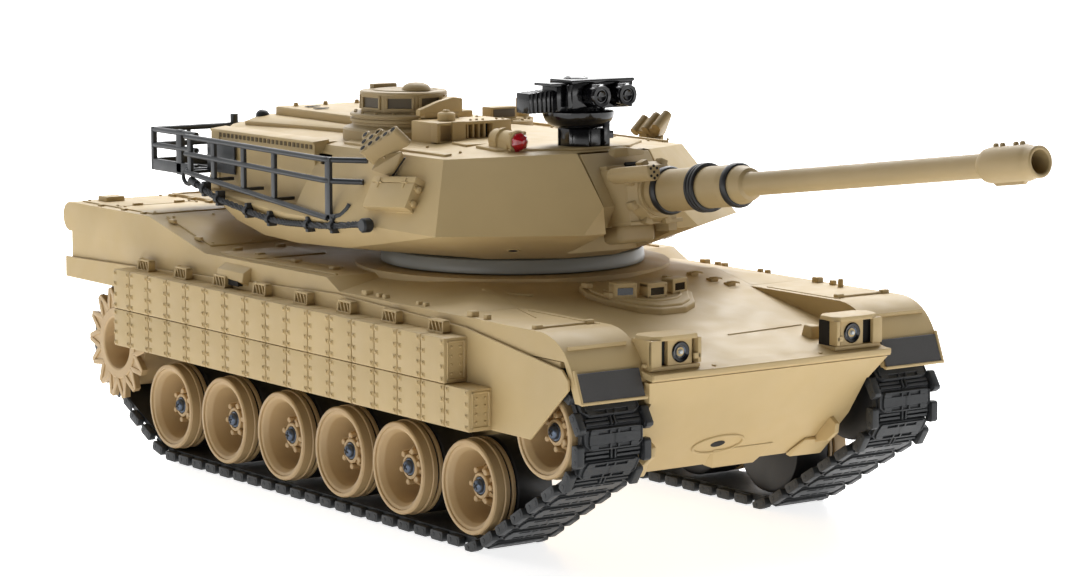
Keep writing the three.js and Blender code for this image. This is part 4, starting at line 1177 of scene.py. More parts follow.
def turret_roof():
    middle = roof_panel([(-36, 46), (36, 46), (40, 116), (30, 121), (-30, 121), (-40, 116)], 1.5, 0.8)
    box_plate = roof_panel([(-26, 62), (26, 62), (26, 117), (-26, 117)], 3.2, 0.7)
    front = roof_panel([(-12, -52), (12, -52), (31, -34), (31, -22), (-31, -22), (-31, -34)], 0.9, 0.3)
    side_strips = []
    for side in (1, -1):
        strip = [(side * 47.6, -28), (side * 44.8, -28), (side * 44.8, 34), (side * 48.4, 34)]
        side_strips.append(roof_panel(strip, 0.8, 0.3))
    cross_strip = roof_panel([(-32, -18), (32, -18), (32, -9), (-32, -9)], 0.8, 0.3)
    bolts = [bolt_head(0.9, 1.3, 8).shifted(x, 112, roof_z(x, 112) + 2.9) for x in (-20, -7, 7, 20)]
    small = [
        bolt_head(0.55, 0.7, 8).shifted(x, y, roof_z(x, y))
        for x in (-40, 40)
        for y in (-26, -6, 14, 32)
    ]
    lips = []
    for side in (1, -1):
        x = side * BUSTLE_SIDE_X
        lips.append(hull([
            (x - side * 6, 40.8, 122.4), (x + side * 0.7, 40.8, 122.0), (x + side * 0.7, 40.8, 122.9),
            (x - side * 6, 40.8, 123.6), (x - side * 6, 112.4, 122.4), (x + side * 0.7, 112.4, 122.0),
            (x + side * 0.7, 112.4, 122.9), (x - side * 6, 112.4, 123.6),
        ], 0.25))
        lips.append(block(min(x, x + side * 0.5), max(x, x + side * 0.5), 106.4, 112, 100.8, 122.4, 0.2))
    return gather([middle, box_plate, front, cross_strip] + side_strips + bolts + small + lips)


refined("turret_shell", "turret_shell", "turret", 0.7, extra=turret_roof())

# Painted shade: a row of thin dark brown blocks on each bustle side stands for the shade in the vent slots.
vents = []
for row in range(VENT_COUNT):
    y = VENT_START_Y + row * VENT_PITCH
    vents.append(block(-BUSTLE_SIDE_X - 0.35, -BUSTLE_SIDE_X + 0.2, y, y + 1.5, 120.2, 121.7, 0.1, 1))
both("bustle_vent_shade", gather(vents), "turret", "tan_plastic", VENT_SHADE)

# Painted shade: two thin dark ovals on the roof box stand for the shade in its slots.
slots = [lathe([(0, 0), (2.0, 0), (2.0, 0.12), (0, 0.12)], 20).moved(Matrix.Diagonal((1.7, 0.8, 1, 1)))
         .shifted(x, y, roof_z(x, y) + 3.15) for x, y in ((-17, 105), (-19, 96))]
piece("roof_slot_shade", gather(slots), "turret", "tan_plastic", SHADOW)
piece("roof_dome", lathe([(0, 0), (2.6, 0), (2.5, 1.1), (1.8, 2.1), (0.8, 2.6), (0, 2.7)], 24)
      .shifted(-31, 118, roof_z(-31, 118) + 0.6), "turret", "basket_plastic")


def cheek_screw(side):
    """The screw recess in the turret's underside, behind a front cheek."""
    start = Vector((side * 33, -47, 60))
    point, normal = TURRET_SKIN.ray_cast(start, Vector((0, 0, 1)))[:2]
    normal = normal if normal.z < 0 else -normal
    place = facing(normal, point)
    ring = lathe([(1.7, 0.1), (2.3, 0.1), (2.3, 0.35), (1.7, 0.35), (1.7, 0.1)], 20)
    return ring.moved(place), lathe([(0, 0.05), (1.7, 0.05), (1.7, 0.2), (0, 0.2)], 20).moved(place)


for side, label in ((-1, "right"), (1, "left")):
    rim, pit = cheek_screw(side)
    piece(f"cheek_boss_{label}", rim, "turret", "tan_plastic")
    # Painted shade: a dark disc in each screw recess stands for its shade.
    piece(f"cheek_pit_shade_{label}", pit, "turret", "tan_plastic", SHADOW)


def turret_ring():
    wall = lathe([
        (30, 77), (40.5, 77), (40.5, 81.85), (45.6, 81.85), (46.4, 82.1), (46.5, 82.9), (46.2, 85.6),
        (45.6, 86.6), (45, 86.85), (30, 86.85), (30, 77),
    ], 96)
    ribs = [block(42.9, 45.0, -0.5, 0.5, 81.85, 82.3, 0.1, 1).turned(i * 30, "Z") for i in range(12)]
    return wall + gather(ribs)


piece("turret_ring", turret_ring(), "turret", "ring_plastic", replaces=["turret_ring"])


# ------------------------------------------------------------------ commander's cupola and hatches

CUPOLA = (-24, 33)
CUPOLA_FACETS = 8
CUPOLA_TURN = math.radians(-151)


def cupola():
    x, y = CUPOLA
    base = lathe([
        (0, 121), (21.5, 121), (21.5, 126.9), (20.9, 127.6), (19.2, 127.9), (18.2, 128.6), (18.2, 129.4),
        (18.9, 129.7), (18.9, 130.7), (18.3, 130.9), (18.3, 131.4), (18.9, 131.6), (18.9, 132.3),
        (18.4, 132.7), (16.4, 132.9), (15.2, 133.3), (0, 133.3),
    ], 64)
    corners = circle(15.6, CUPOLA_FACETS, CUPOLA_TURN)
    wall = prism(corners, "z", 132.8, 139.4, 0.35)
    lid = lathe(
        [
            (0, 139), (15.4, 139), (15.5, 139.9), (15.1, 140.3), (12, 140.5), (11.6, 140.2), (10.8, 140.2),
            (10.4, 140.7), (6, 141.1), (0, 141.2),
        ],
        48,
    )
    dome = lathe([(0, 140.8), (5.2, 140.8), (5.1, 141.3), (4.2, 142.5), (2.4, 143.3), (0, 143.5)], 28)
    dome = dome.shifted(0.5, -7.5, 0)
    hinge = block(-5, 5, 11.5, 14.5, 139.6, 142, 0.6)
    flange_bolts = [bolt_head(0.7, 0.7, 8).shifted(a, b, 132.6) for a, b in circle(17.2, 16)]
    frames = []
    panes = []
    half_angle = math.pi / CUPOLA_FACETS
    reach = 15.6 * math.cos(half_angle)
    for i in range(CUPOLA_FACETS):
        angle = CUPOLA_TURN + half_angle + i * 2 * half_angle
        turn = Matrix.Rotation(angle, 4, "Z")
        for b0, b1, z0, z1 in (
            (-5, 5, 134.1, 134.8), (-5, 5, 138.3, 139), (-5, -4.2, 134.8, 138.3), (4.2, 5, 134.8, 138.3)
        ):
            frames.append(block(reach - 0.4, reach + 0.75, b0, b1, z0, z1, 0.18).moved(turn))
        panes.append(block(reach - 0.3, reach + 0.08, -4.3, 4.3, 134.7, 138.4).moved(turn))
    solid = gather([base, wall, lid, dome, hinge] + flange_bolts + frames).shifted(x, y, 0)
    return solid, gather(panes).shifted(x, y, 0)


cupola_solid, cupola_panes = cupola()
# Painted shade: the cupola takes the darker copy of the tan plastic.
piece("commander_cupola", cupola_solid, "turret", "tan_plastic", TAN_SHADED, ["commander_cupola"])
# Painted shade: the cupola window panes are tan plastic darkened to stand for shade.
piece("cupola_window_shade", cupola_panes, "turret", "tan_plastic", WINDOW_SHADE)


def gun_bracket():
    """The ramp-shaped weapon bracket in front of the cupola, with its round post."""
    ramp = prism(
        [(-31, 132.6), (-31, 134.8), (-23, 137.4), (-17, 138.7), (-12.8, 138.2), (-12.8, 132.6)], "y", 12.2,
        14.8, 0.5,
    )
    foot = block(-29, -14, 12, 17.5, 131.8, 133.4, 0.4)
    post = lathe([(0, 126), (2.9, 126), (2.9, 137.9), (2.4, 138.5), (0, 138.6)], 24).shifted(-15.9, 15.5, 0)
    return gather([ramp, foot, post])


piece("gun_bracket", gun_bracket(), "turret", "tan_plastic")

LOADER = (27, 46)


def loader_hatch():
    x, y = LOADER
    z = roof_z(x, y)
    ring = lathe(
        [
            (0, -2), (12, -2), (12, 0.7), (11.4, 1.3), (9.8, 1.4), (9.4, 1.0), (8.8, 1.0), (8.4, 1.8),
            (0, 2.2),
        ],
        48,
    )
    bolts = [bolt_head(0.6, 0.7, 8).shifted(a, b, 1.1) for a, b in circle(10.9, 14)]
    body = gather([ring] + bolts).shifted(x, y, z)
    scope = block(18, 29.5, 39, 45, z, z + 6.2, 0.6)
    pillar = lathe(
        [(0, -1), (4, -1), (4, 1.4), (2.5, 1.8), (2.5, 8.2), (2.1, 8.7), (0, 8.8)], 24
    ).shifted(37, 46, z)
    return gather([body, scope, pillar]), block(19, 28.5, 38.8, 39.1, z + 2.4, z + 5.4, 0.05)


hatch_solid, hatch_pane = loader_hatch()
piece("loader_hatch", hatch_solid, "turret", "tan_plastic")
# Painted shade: the scope window is a tan plate darkened to stand for shade.
piece("loader_window_shade", hatch_pane, "turret", "tan_plastic", WINDOW_SHADE)


# ------------------------------------------------------------------ main sight and signal lamp


def sight_housing():
    x0, x1, y0, y1, z0, z1 = -34.5, -3.3, -4, 12.5, 122.6, 131.5
    parts = [
        block(x0, x1, y0 + 3.2, y1, z0, z1, 0.8), block(x0, x1, y0, y0 + 4.4, z1 - 1.1, z1, 0.35),
        block(x0, x1, y0, y0 + 4.4, z0, 125.0, 0.35), block(x0, x0 + 1.4, y0, y0 + 4.4, z0, z1 - 0.4, 0.35),
        block(-11.4, x1, y0, y0 + 4.4, z0, z1 - 0.3, 0.4),
        block(-28.6, -23.2, y0 - 0.9, y0 + 0.4, 124.3, 131.7, 0.3),
        block(x0 - 0.5, x1 + 0.5, y0 - 0.9, y1, z0, 124.1, 0.4),
        lathe(
            [(0, 131), (3.1, 131), (3.1, 133.9), (2.6, 134.4), (1.3, 134.5), (1.2, 135.2), (0, 135.3)], 28
        ).shifted(-26, 3, 0),
    ]
    parts += [bolt_head(0.5, 0.6, 8).shifted(x, -1.6, z1 - 0.05) for x in (-19, -16.4, -13.8, -8, -5.4)]
    parts += [bolt_head(0.5, 0.6, 8).shifted(x, 10.5, z1 - 0.05) for x in (-32, -24, -16, -8)]
    parts += [block(x, x + 0.8, y0 + 0.9, y0 + 3.5, 125.0, 130.5, 0.15) for x in (-21.6, -19.2, -16.8, -14.4)]
    parts += [rod([(x, y0 - 1.0, 124.2), (x + 2.2, y0 - 1.0, 124.2)], 0.45) for x in (-31.5, -26)]
    return gather(parts)


piece("sight_housing", sight_housing(), "turret", "tan_plastic", replaces=["sight_housing"])
# Painted shade: a dark sheet behind the open front of the sight housing.
piece("sight_interior_shade", block(-23.2, -11.4, -0.9, -0.7, 125, 130.5), "turret", "tan_plastic", SHADOW)

SIGNAL = (-25, -32.2, 127.1)


def signal_lamp():
    x, y, z = SIGNAL
    barrel = lathe([
        (0, -6.8), (3.6, -6.8), (3.9, -6.4), (3.9, -5.4), (3.45, -5.1), (3.45, 0.9), (4.2, 1.1), (4.2, 2.5),
        (3.6, 2.8), (3.6, 6.2), (3.0, 6.8), (0, 6.8),
    ], 32, "y")
    knobs = [block(-0.5, 0.5, -6.5, -5.2, 3.7, 4.4, 0.15).turned(90 * i + 45, "Y") for i in range(4)]
    saddle = block(-3.5, 3.5, -4.6, 6.2, -5.2, 0, 0.4)
    plate = block(-4.4, 4.4, -6.8, 7.4, -5.2, -3.2, 0.3)
    return gather([barrel, saddle, plate] + knobs).shifted(x, y, z)


piece("signal_lamp_housing", signal_lamp(), "turret", "tan_plastic", replaces=["signal_lamp_housing"])
jewel = lathe([(0, -6.9), (3.2, -6.9), (3.1, -7.6), (2.5, -8.7), (1.4, -9.6), (0.7, -9.9), (0, -9.9)], 9, "y")
piece(
    "signal_lamp_lens", jewel.shifted(*SIGNAL), "turret", "red_lens", replaces=["signal_lamp_lens"],
    sharp=10,
)
piece("signal_lamp_block", block(-26.6, -22.2, -39.6, -36.2, 123.4, 125.9, 0.4), "turret", "red_lens")


# ------------------------------------------------------------------ binocular sight

PEDESTAL = (-0.5, -42)
LENS_X = (-1.1, 9.9)
LENS_Z = 142.3


def pedestal():
    x, y = PEDESTAL
    drum = prism(circle(8.7, 8, math.pi / 8), "z", 122.6, 131, 0.35)
    ribs = []
    for i in range(8):
        turn = Matrix.Rotation(i * math.pi / 4, 4, "Z")
        ribs.append(block(7.7, 8.4, -2.6, -2.1, 123, 130.7, 0.15).moved(turn))
    strap = block(2.4, 4.8, -9.2, -8.0, 123.2, 133.6, 0.25)
    keeper = block(5.2, 6.8, -8.6, -6.8, 127.6, 130.2, 0.2)
    base = lathe([(0, 122.4), (9.8, 122.4), (9.8, 124.6), (9.3, 125), (0, 125)], 32)
    return gather([drum, strap, keeper, base] + ribs).shifted(x, y, 0)


def lens_grip(x):
    """A scalloped focusing grip with a recessed lens."""
    lobes = []
    steps = 60
    for i in range(steps):
        angle = 2 * math.pi * i / steps
        radius = 3.95 + 0.22 * math.cos(10 * angle)
        lobes.append((radius * math.cos(angle), radius * math.sin(angle)))
    grip = prism(lobes, "y", -11.4, -5.0, 0.18)
    rim = lathe([(2.5, -10.0), (2.5, -12.0), (3.5, -12.1), (3.9, -11.2), (3.9, -10.6), (2.5, -10.0)], 40, "y")
    well = lathe(
        [(0, -11.5), (1.1, -11.6), (1.6, -11.9), (2.0, -11.5), (2.7, -11.5), (2.7, -11.2), (0, -11.2)], 32,
        "y",
    )
    tube = lathe([(0, -6), (4.3, -6), (4.3, 1), (0, 1)], 32, "y")
    return gather([grip, rim, well, tube]).shifted(x, PEDESTAL[1], LENS_Z)


def binocular():
    bowl = lathe([
        (0, 131.35), (8.4, 131.35), (10.2, 132.2), (11.4, 133.4), (12.0, 134.8), (12.2, 135.6), (12.2, 136.6),
        (11.6, 137.0), (9.4, 137.2), (9.0, 138.0), (0, 138.0),
    ], 48).shifted(-1.6, -41, 0)
    body = block(-9.3, 16.4, -48, -36, 137.7, 147.2, 0.5)
    lid = block(-9.7, 16.8, -48.4, -35.6, 146.5, 147.7, 0.3)
    knob = lathe([(0, 147), (4.4, 147), (4.2, 147.9), (3, 148.6), (0, 148.9)], 28).shifted(-2, -40, 0)
    neck = block(-14, -8, -45.7, -37, 137, 145.6, 0.4)
    neck_lid = block(-17, -8.4, -46.2, -36.6, 145.7, 146.7, 0.2)
    ribs = []
    for i in range(6):
        x = -24.3 + i * 1.85
        z_top = 143.6 + i * 0.14
        ribs.append(block(x, x + 1.6, -44, -36.5, 136.7, z_top, 0.4))
        ribs.append(block(x + 1.2, x + 2.3, -43.3, -37.2, 137.4, z_top - 0.7))
    clamp = block(-11.2, -9.2, -48.2, -46.8, 138.2, 146.2, 0.25)
    return gather(
        [bowl, body, lid, knob, neck, neck_lid, clamp, lens_grip(LENS_X[0]), lens_grip(LENS_X[1])] + ribs
    )


piece("sight_pedestal", pedestal(), "turret", "sight_plastic", replaces=["sight_pedestal"])
piece("binocular_sight", binocular(), "turret", "sight_plastic", replaces=["binocular_sight"])


# ------------------------------------------------------------------ stowage boxes and launchers


def stowage_box():
    place = wall_place(-3.5, 102.7, 0.076)
    length, height, depth = 25, 11.5, 4
    parts = [
        block(0, length, 0, height - 2.4, -1, depth, 0.35),
        block(0, length, height - 2.25, height, -1, depth, 0.35),
        block(0.4, length - 0.4, 0.4, height - 0.4, -1, depth - 0.5),
        block(-0.4, length + 0.4, -0.5, 0.5, -1, 1.2, 0.2),
    ]
    for x in (4.6, 19.5):
        parts.append(rod([(x - 1.6, height - 2.3, depth + 0.1), (x + 1.6, height - 2.3, depth + 0.1)], 0.32))
        parts.append(block(x - 0.35, x + 0.35, height - 4.3, height - 0.6, depth - 0.1, depth + 0.3, 0.08, 1))
    for y in (2.6, 7.6):
        knob = lathe([(0, 0), (1.15, 0), (1.15, 0.9), (0.7, 1.3), (0, 1.35)], 16, "x")
        parts.append(knob.shifted(length - 0.1, y, 1.6))
        parts.append(block(length - 0.1, length + 0.5, y - 0.5, y + 0.5, 0.2, 3.4, 0.12, 1))
    return gather(parts).moved(place)


both("stowage_box", stowage_box(), "turret", "tan_plastic", nodes=["stowage_box"])

POD_REAR = Vector((-65.6, -2.3, 122.9))
POD_FRONT = Vector((-58.8, -15.2, 131.3))
POD_TOP = Vector((-60.4, 3.4, 128.3))
TUBE_RADIUS = 1.75


def smoke_launcher():
    """A cluster of nine tubes on a wedge-shaped foot. Returns the solid, the dark discs of painted shade in
    the bores, and the sole.
    """
    row = (POD_FRONT - POD_REAR).normalized()
    out = row.cross(POD_TOP - POD_REAR).normalized()
    if out.x > 0:
        out.negate()
    inward = out.cross(row)
    if inward.dot(POD_TOP - POD_REAR) < 0:
        inward.negate()
    place = Matrix((row, inward, out)).transposed().to_4x4()
    place = Matrix.Translation(POD_REAR) @ place
    span = (POD_FRONT - POD_REAR).length
    reach = (POD_TOP - POD_REAR).dot(inward)
    lean = (POD_TOP - POD_REAR).dot(row)
    bores = [(1.7 + i * (span - 3.4) / 4, 1.3) for i in range(5)]
    bores += [(lean * 0.45 + 1.6 + i * 3.3, 1.3 + (reach - 2.0) * 0.47) for i in range(3)]
    bores += [(lean * 0.85 + 1.5, reach - 0.9)]
    tubes = [
        lathe([(0, -7.5), (TUBE_RADIUS, -7.5), (TUBE_RADIUS, -0.25), (1.5, 0), (0, 0)], 20).shifted(a, b, 0)
        for a, b in bores
    ]
    web = hull([(a, b, z) for a, b in bores for z in (-7.2, -0.25)], 0.3)
    row_ends = [(a + p, b + q) for a, b in (bores[0], bores[4]) for p, q in circle(TUBE_RADIUS, 16)]
    near_face = hull([(a, b, z) for a, b in row_ends for z in (-7.4, -0.3)], 0.2)
    skirt = hull([(0.2, 0, -0.3), (span - 0.2, 0, -0.3), (lean, reach + 0.3, -0.3), (1.2, 0.4, -7.4),
                  (span - 1, 0.6, -6.6), (lean + 1.4, reach - 0.6, -7)], 0.7, 3)
    ring = lathe([(1.05, -0.1), (1.5, -0.1), (1.5, 0.5), (1.05, 0.5), (1.05, -0.1)], 20).shifted(*bores[7], 0)
    body = gather(tubes + [web, near_face, skirt, ring]).moved(place)
    foot = hull([
        (-62.6, -5.4, 117), (-56.6, 0.2, 120), (-55.9, -14.6, 123.8), (-59, -6, 122),
        (-57.0, -9.9, 114.6), (-53.8, -12.8, 121), (-54, -4, 119), (-54, -10, 119),
    ], 0.4)
    sole = hull([
        (-57.9, -9.6, 114.0), (-54.4, -13.4, 121.2), (-53.4, -13.4, 121.6), (-56.9, -9.6, 114.0),
        (-54.6, -3, 117.6), (-53.6, -3, 119.4),
    ], 0.2)
    stud = bolt_head(0.45, 0.5, 8).moved(facing((-0.6, -0.6, -0.3), (-60.6, -10.6, 121.6)))
    # Painted shade: thin dark discs in the tube mouths.
    dark = [lathe([(0, 0), (0.98, 0), (0.98, 0.09), (0, 0.09)], 18).shifted(a, b, 0) for a, b in bores]
    return gather([body, foot, stud]), gather(dark).moved(place), sole


launcher_solid, launcher_bore_shade, launcher_sole = smoke_launcher()
# Painted shade: the smoke launchers take the darker copy of the tan plastic.
both("smoke_launcher", launcher_solid, "turret", "tan_plastic", TAN_SHADED, ["smoke_launcher"])
# Painted shade: the dark discs in the launcher bores.
both("launcher_bore_shade", launcher_bore_shade, "turret", "tan_plastic", SHADOW)
both("launcher_sole", launcher_sole, "turret", "basket_plastic")


# ------------------------------------------------------------------ baskets and tow cables

BASKET_X = -66
POST_Y = (17, 53, 74, 95, 112)


def rail_top(y):
    return 119 + (y - 17) * 0.012


def rail_middle(y):
    return 111.7 + (y - 17) * 0.022


def rail_bottom(y):
    return 98.8 + (y - 17) * 0.085


def side_basket():
    parts = []
    for height, wrap_x in ((rail_top, -56.6), (rail_middle, -58.4)):
        path = [(BASKET_X, 114.6, height(114.6)), (BASKET_X, 17, height(17)), (wrap_x, 6, height(17))]
        parts.append(rod(rounded_path(path, 3), 1.0, 12))
    parts.append(rod([(BASKET_X, 114.6, rail_bottom(114.6)), (BASKET_X, 17, rail_bottom(17))], 1.0, 12))
    for y in POST_Y:
        width = 1.6 if y == POST_Y[0] else 1.2
        low, high = rail_bottom(y) - 0.7, rail_top(y) + 0.9
        parts.append(block(BASKET_X - 0.2, BASKET_X + 1.1, y - width, y + width, low, high, 0.25))
        parts.append(block(BASKET_X, BASKET_X + 8.4, y - 0.9, y + 0.9, low + 0.5, low + 1.7, 0.2))
    back = block(-57.6, -56.9, 94, 113.6, 107.2, 118.6, 0.2)
    lever = rod([(-65.6, 15, 99.2), (-64.6, 10.6, 100.4), (-63.4, 8.6, 102.6), (-62.6, 8.2, 104.2)], 0.9, 8)
    lever += block(-66.2, -64.2, 12.6, 17.4, 98.2, 100.4, 0.4)
    end = block(BASKET_X - 0.3, -56.6, 113.6, 115.2, 106.9, 108.4, 0.3)
    return gather(parts + [back, lever, end])


both("side_basket", side_basket(), "turret", "basket_plastic", nodes=["side_basket"])

RACK_X = 60
RACK_FRONT_Y = 117
RACK_REAR_Y = 149


def rear_rack():
    parts = []
    for z in (120.2, 114.4):
        path = [
            (-RACK_X, RACK_FRONT_Y, z), (-RACK_X, RACK_REAR_Y, z), (RACK_X, RACK_REAR_Y, z),
            (RACK_X, RACK_FRONT_Y, z),
        ]
        parts.append(rod(rounded_path(path, 1.6), 1.05, 12))
    for side in (-1, 1):
        x = side * RACK_X
        parts.append(block(x - 0.9, x + 0.9, RACK_FRONT_Y, RACK_REAR_Y, 105.2, 109.2, 0.3))
        parts.append(block(x - 0.9, x + 0.9, 127, 131, 104.6, 121.4, 0.35))
        parts.append(rod([(side * 36, 124.9, 105.6), (side * 36, 130, 105.6)], 1.2, 10))
        parts.append(rod([(side * 25, RACK_REAR_Y, 106), (side * 25, RACK_REAR_Y, 124.4)], 1.5, 12))
        parts.append(block(x - 0.9, x + 0.9, RACK_REAR_Y - 1, RACK_REAR_Y + 0.9, 105, 121.2, 0.3))
    parts.append(block(-RACK_X, RACK_X, RACK_REAR_Y - 0.9, RACK_REAR_Y + 0.9, 104.9, 109.4, 0.3))
    parts.append(block(-RACK_X, RACK_X, 127.5, RACK_REAR_Y, 104.8, 106, 0.2))
    parts += [block(x - 0.5, x + 0.5, 127.5, RACK_REAR_Y, 105.8, 106.7, 0.15) for x in range(-54, 55, 9)]
    parts += [
        block(x - 0.8, x + 0.8, RACK_REAR_Y - 0.4, RACK_REAR_Y + 0.4, 105, 120.2, 0.2)
        for x in (-45, -5, 5, 45)
    ]
    return gather(parts)


piece("rear_rack", rear_rack(), "turret", "basket_plastic", replaces=["rear_rack"])

CABLE_ROUTE = [
    (112.3, 103.4), (104.3, 102), (90, 99.4), (75.3, 97.2), (60, 95.4), (45, 94.8), (33, 95.3),
    (16.2, 96.2), (-0.4, 98.2), (-9.4, 98.9),
]
CLIP_Y = (103, 89.7, 71.4, 55.4, 29.6, 13.8)


def cable_x(y, z):
    base = -66.5 if z > 98.2 else -64.5
    return base - 1.6 + (0.12 * (y - 80) if y > 80 else 0)


def smooth_route():
    """A denser path through the route points."""
    raw = [Vector((cable_x(y, z), y, z)) for y, z in CABLE_ROUTE]
    path = []
    for i in range(len(raw) - 1):
        p0, p1 = raw[max(i - 1, 0)], raw[i]
        p2, p3 = raw[i + 1], raw[min(i + 2, len(raw) - 1)]
        for step in range(14):
            t = step / 14
            path.append(0.5 * (2 * p1 + (p2 - p0) * t + (2 * p0 - 5 * p1 + 4 * p2 - p3) * t**2
                               + (3 * p1 - p0 - 3 * p2 + p3) * t**3))
    return path + [raw[-1]]


def twisted_cable(path, radius, strands=5, pitch=4.2):
    """Strands laid round each other, drawn as one fluted bar that turns as it goes."""
    count = strands * 6
    travelled = 0.0
    points = []
    for i, p in enumerate(path):
        if i:
            travelled += (p - path[i - 1]).length
        heading = (path[min(i + 1, len(path) - 1)] - path[max(i - 1, 0)]).normalized()
        side = heading.cross(Vector((0, 0, 1))).normalized()
        up = side.cross(heading)
        twist = 2 * math.pi * travelled / (pitch * strands)
        for k in range(count):
            angle = 2 * math.pi * k / count
            r = radius * (0.8 + 0.22 * math.cos(strands * (angle - twist * strands / 2)))
            points.append(p + side * (r * math.cos(angle)) + up * (r * math.sin(angle)))
    faces = []
    for r in range(len(path) - 1):
        a, b = r * count, (r + 1) * count
        faces += [(a + i, a + (i + 1) % count, b + (i + 1) % count, b + i) for i in range(count)]
    faces.append(tuple(range(count)))
    faces.append(tuple(range(len(points) - 1, len(points) - 1 - count, -1)))
    return Shape(points, faces)


def tow_cable():
    path = smooth_route()
    parts = [twisted_cable(path, 1.2)]
    for clip_y in CLIP_Y:
        p = min(path, key=lambda q: abs(q.y - clip_y))
        parts.append(
            lathe([(1.2, -1.0), (1.75, -1.0), (1.75, 1.0), (1.2, 1.0), (1.2, -1.0)], 16, "y").shifted(*p)
        )
        parts.append(block(p.x - 0.7, p.x + 2.6, p.y - 0.9, p.y + 0.9, p.z - 2.6, p.z + 2.8, 0.3))
    front = path[-1]
    parts.append(lathe([(0, -2), (2.0, -2), (2.5, -1.4), (2.5, 1.2), (2.0, 1.9), (0, 2)], 24, "x")
                 .shifted(front.x + 0.1, front.y - 1, front.z + 0.1))
    parts.append(rod([front, path[-7]], 1.5, 14))
    rear = path[0]
    loop = [rear + Vector((0.3, 4.4 + 3.6 * math.cos(a), 1.8 + 2.9 * math.sin(a)))
            for a in [2 * math.pi * i / 24 for i in range(24)]]
    parts.append(rod(loop, 0.75, 8, closed=True))
    parts.append(rod([rear + Vector((0, 1.6, 0.6)), path[8]], 1.5, 14))
    return gather(parts)


both("tow_cable", tow_cable(), "turret", "track_plastic", nodes=["tow_cable"])

# ------------------------------------------------------------------ gun

# The gun is drawn level, pointing along -Y from its trunnion, then raised.
TRUNNION = (0, -62, 109.7)
GUN_RISE = math.radians(7.5)
GUN_PLACE = Matrix.Translation(TRUNNION) @ Matrix.Rotation(-GUN_RISE, 4, "X")
COAXIAL_X = -10.5


def gun_piece(name, shape, slot, finish=None, replaces=(), sharp=32):
    piece(name, shape.moved(GUN_PLACE), "gun", slot, finish, replaces, sharp)


def along_gun(profile, count=64):
    """A profile of (radius, distance forward of the trunnion) points."""
    return lathe([(r, -s) for r, s in profile], count, "y")


def rotor():
    """The swinging front plate of the turret, its block, shelf and chin."""
    w = 14.4
    corners = [(6, 8), (6, -8), (4.6, 14.1), (0.5, 14.3), (-10.5, -3.9), (-5, -10.9), (2, -10.9)]
    plate = hull([(x, y, z) for x in (-w, w) for y, z in corners], 0.4)
    nose = block(-9.8, 9.8, -18.1, -2, -10.6, 8.3, 0.5)
    shelf = block(-9.9, 12, -18.6, -4, -10.6, -9.3, 0.25)
    tab = block(8.4, 12, -15, -8, -13.4, -10.2, 0.4)
    chin = block(-7.8, 7.8, -9, 1, -16.6, -10, 2.4, 5)
    step = block(-9.2, -2.2, -6.4, -1.2, 7.6, 9.7, 0.4)
    ledge = block(2.2, 9.4, -16, -3, 8.0, 8.9, 0.3)
    return gather([plate, nose, shelf, tab, chin, step, ledge])


def fairing():
    """The pointed cover over the joint between the gun and the roof."""
    return hull([
        (-4.6, -1.4, 14.0), (-2.6, -3.6, 15.4), (1.4, -4.6, 15.5), (9.6, -3.4, 14.2), (9.4, -1.2, 14.4),
        (1.6, -0.4, 16.2), (-2.8, -0.6, 15.9), (-3.6, -3.2, 12.4), (1.6, -5.2, 12.6), (9, -3.8, 12.8),
    ], 0.35)


def coaxial_gun():
    tube = along_gun(
        [(0, 9.6), (1.2, 9.8), (2.1, 10.8), (2.6, 12.6), (2.7, 15), (2.7, 33.6), (2.4, 34), (0, 34)], 32
    )
    cover = block(-2.5, 2.7, -33.6, -13, -0.4, 2.5, 0.35)
    return gather([tube, cover]).shifted(COAXIAL_X, 0, 6.2)


COLLAR_SIDES = 8


def collar():
    body = along_gun(
        [(7, 17.2), (10.9, 17.2), (11.0, 18.2), (9.9, 20.6), (9.4, 21.9), (7, 22), (7, 17.2)], COLLAR_SIDES
    )
    body = body.turned(22.5, "Y")
    neck = along_gun([(7, 21.4), (8.4, 21.4), (8.2, 22.9), (7, 22.9), (7, 21.4)], 48)
    lugs = []
    for i in range(COLLAR_SIDES):
        lug = block(-1.4, 1.4, -21.2, -17.6, 9.4, 11.4, 0.4)
        lugs.append(lug.turned(i * 360 / COLLAR_SIDES + 22.5, "Y"))
    return gather([body.bevelled(0.35), neck] + lugs)


# Painted shade: the mantlet, coaxial gun and collar take the darker copy of the tan plastic.
gun_piece(
    "gun_mantlet", gather([rotor(), fairing(), coaxial_gun(), collar()]), "tan_plastic", TAN_SHADED,
    ["gun_mantlet"],
)
# Painted shade: seven thin dark discs at the muzzle stand for the shade in the bores.
BORE_SPOTS = [(0, 0), (-1.25, 1.2), (1.25, 1.2), (-1.25, -1.2), (1.25, -1.2), (0, 2.0), (0, -2.0)]
bores = [
    lathe([(0, -34.12), (0.48, -34.12), (0.48, -33.9), (0, -33.9)], 14, "y").shifted(a, 0, b)
    for a, b in BORE_SPOTS
]
gun_piece("coaxial_bore_shade", gather(bores).shifted(COAXIAL_X, 0, 6.4), "tan_plastic", SHADOW)
# Painted shade: a dark bar stands for the shade in the slot on the mantlet.
gun_piece("mantlet_slot_shade", hull([
    (0.4, -3.4, 9.9), (6.4, -3.4, 9.9), (0.4, -4.3, 9.0), (6.4, -4.3, 9.0),
    (0.4, -4.0, 10.6), (6.4, -4.0, 10.6), (0.4, -4.9, 9.7), (6.4, -4.9, 9.7),
]), "tan_plastic", SHADOW)


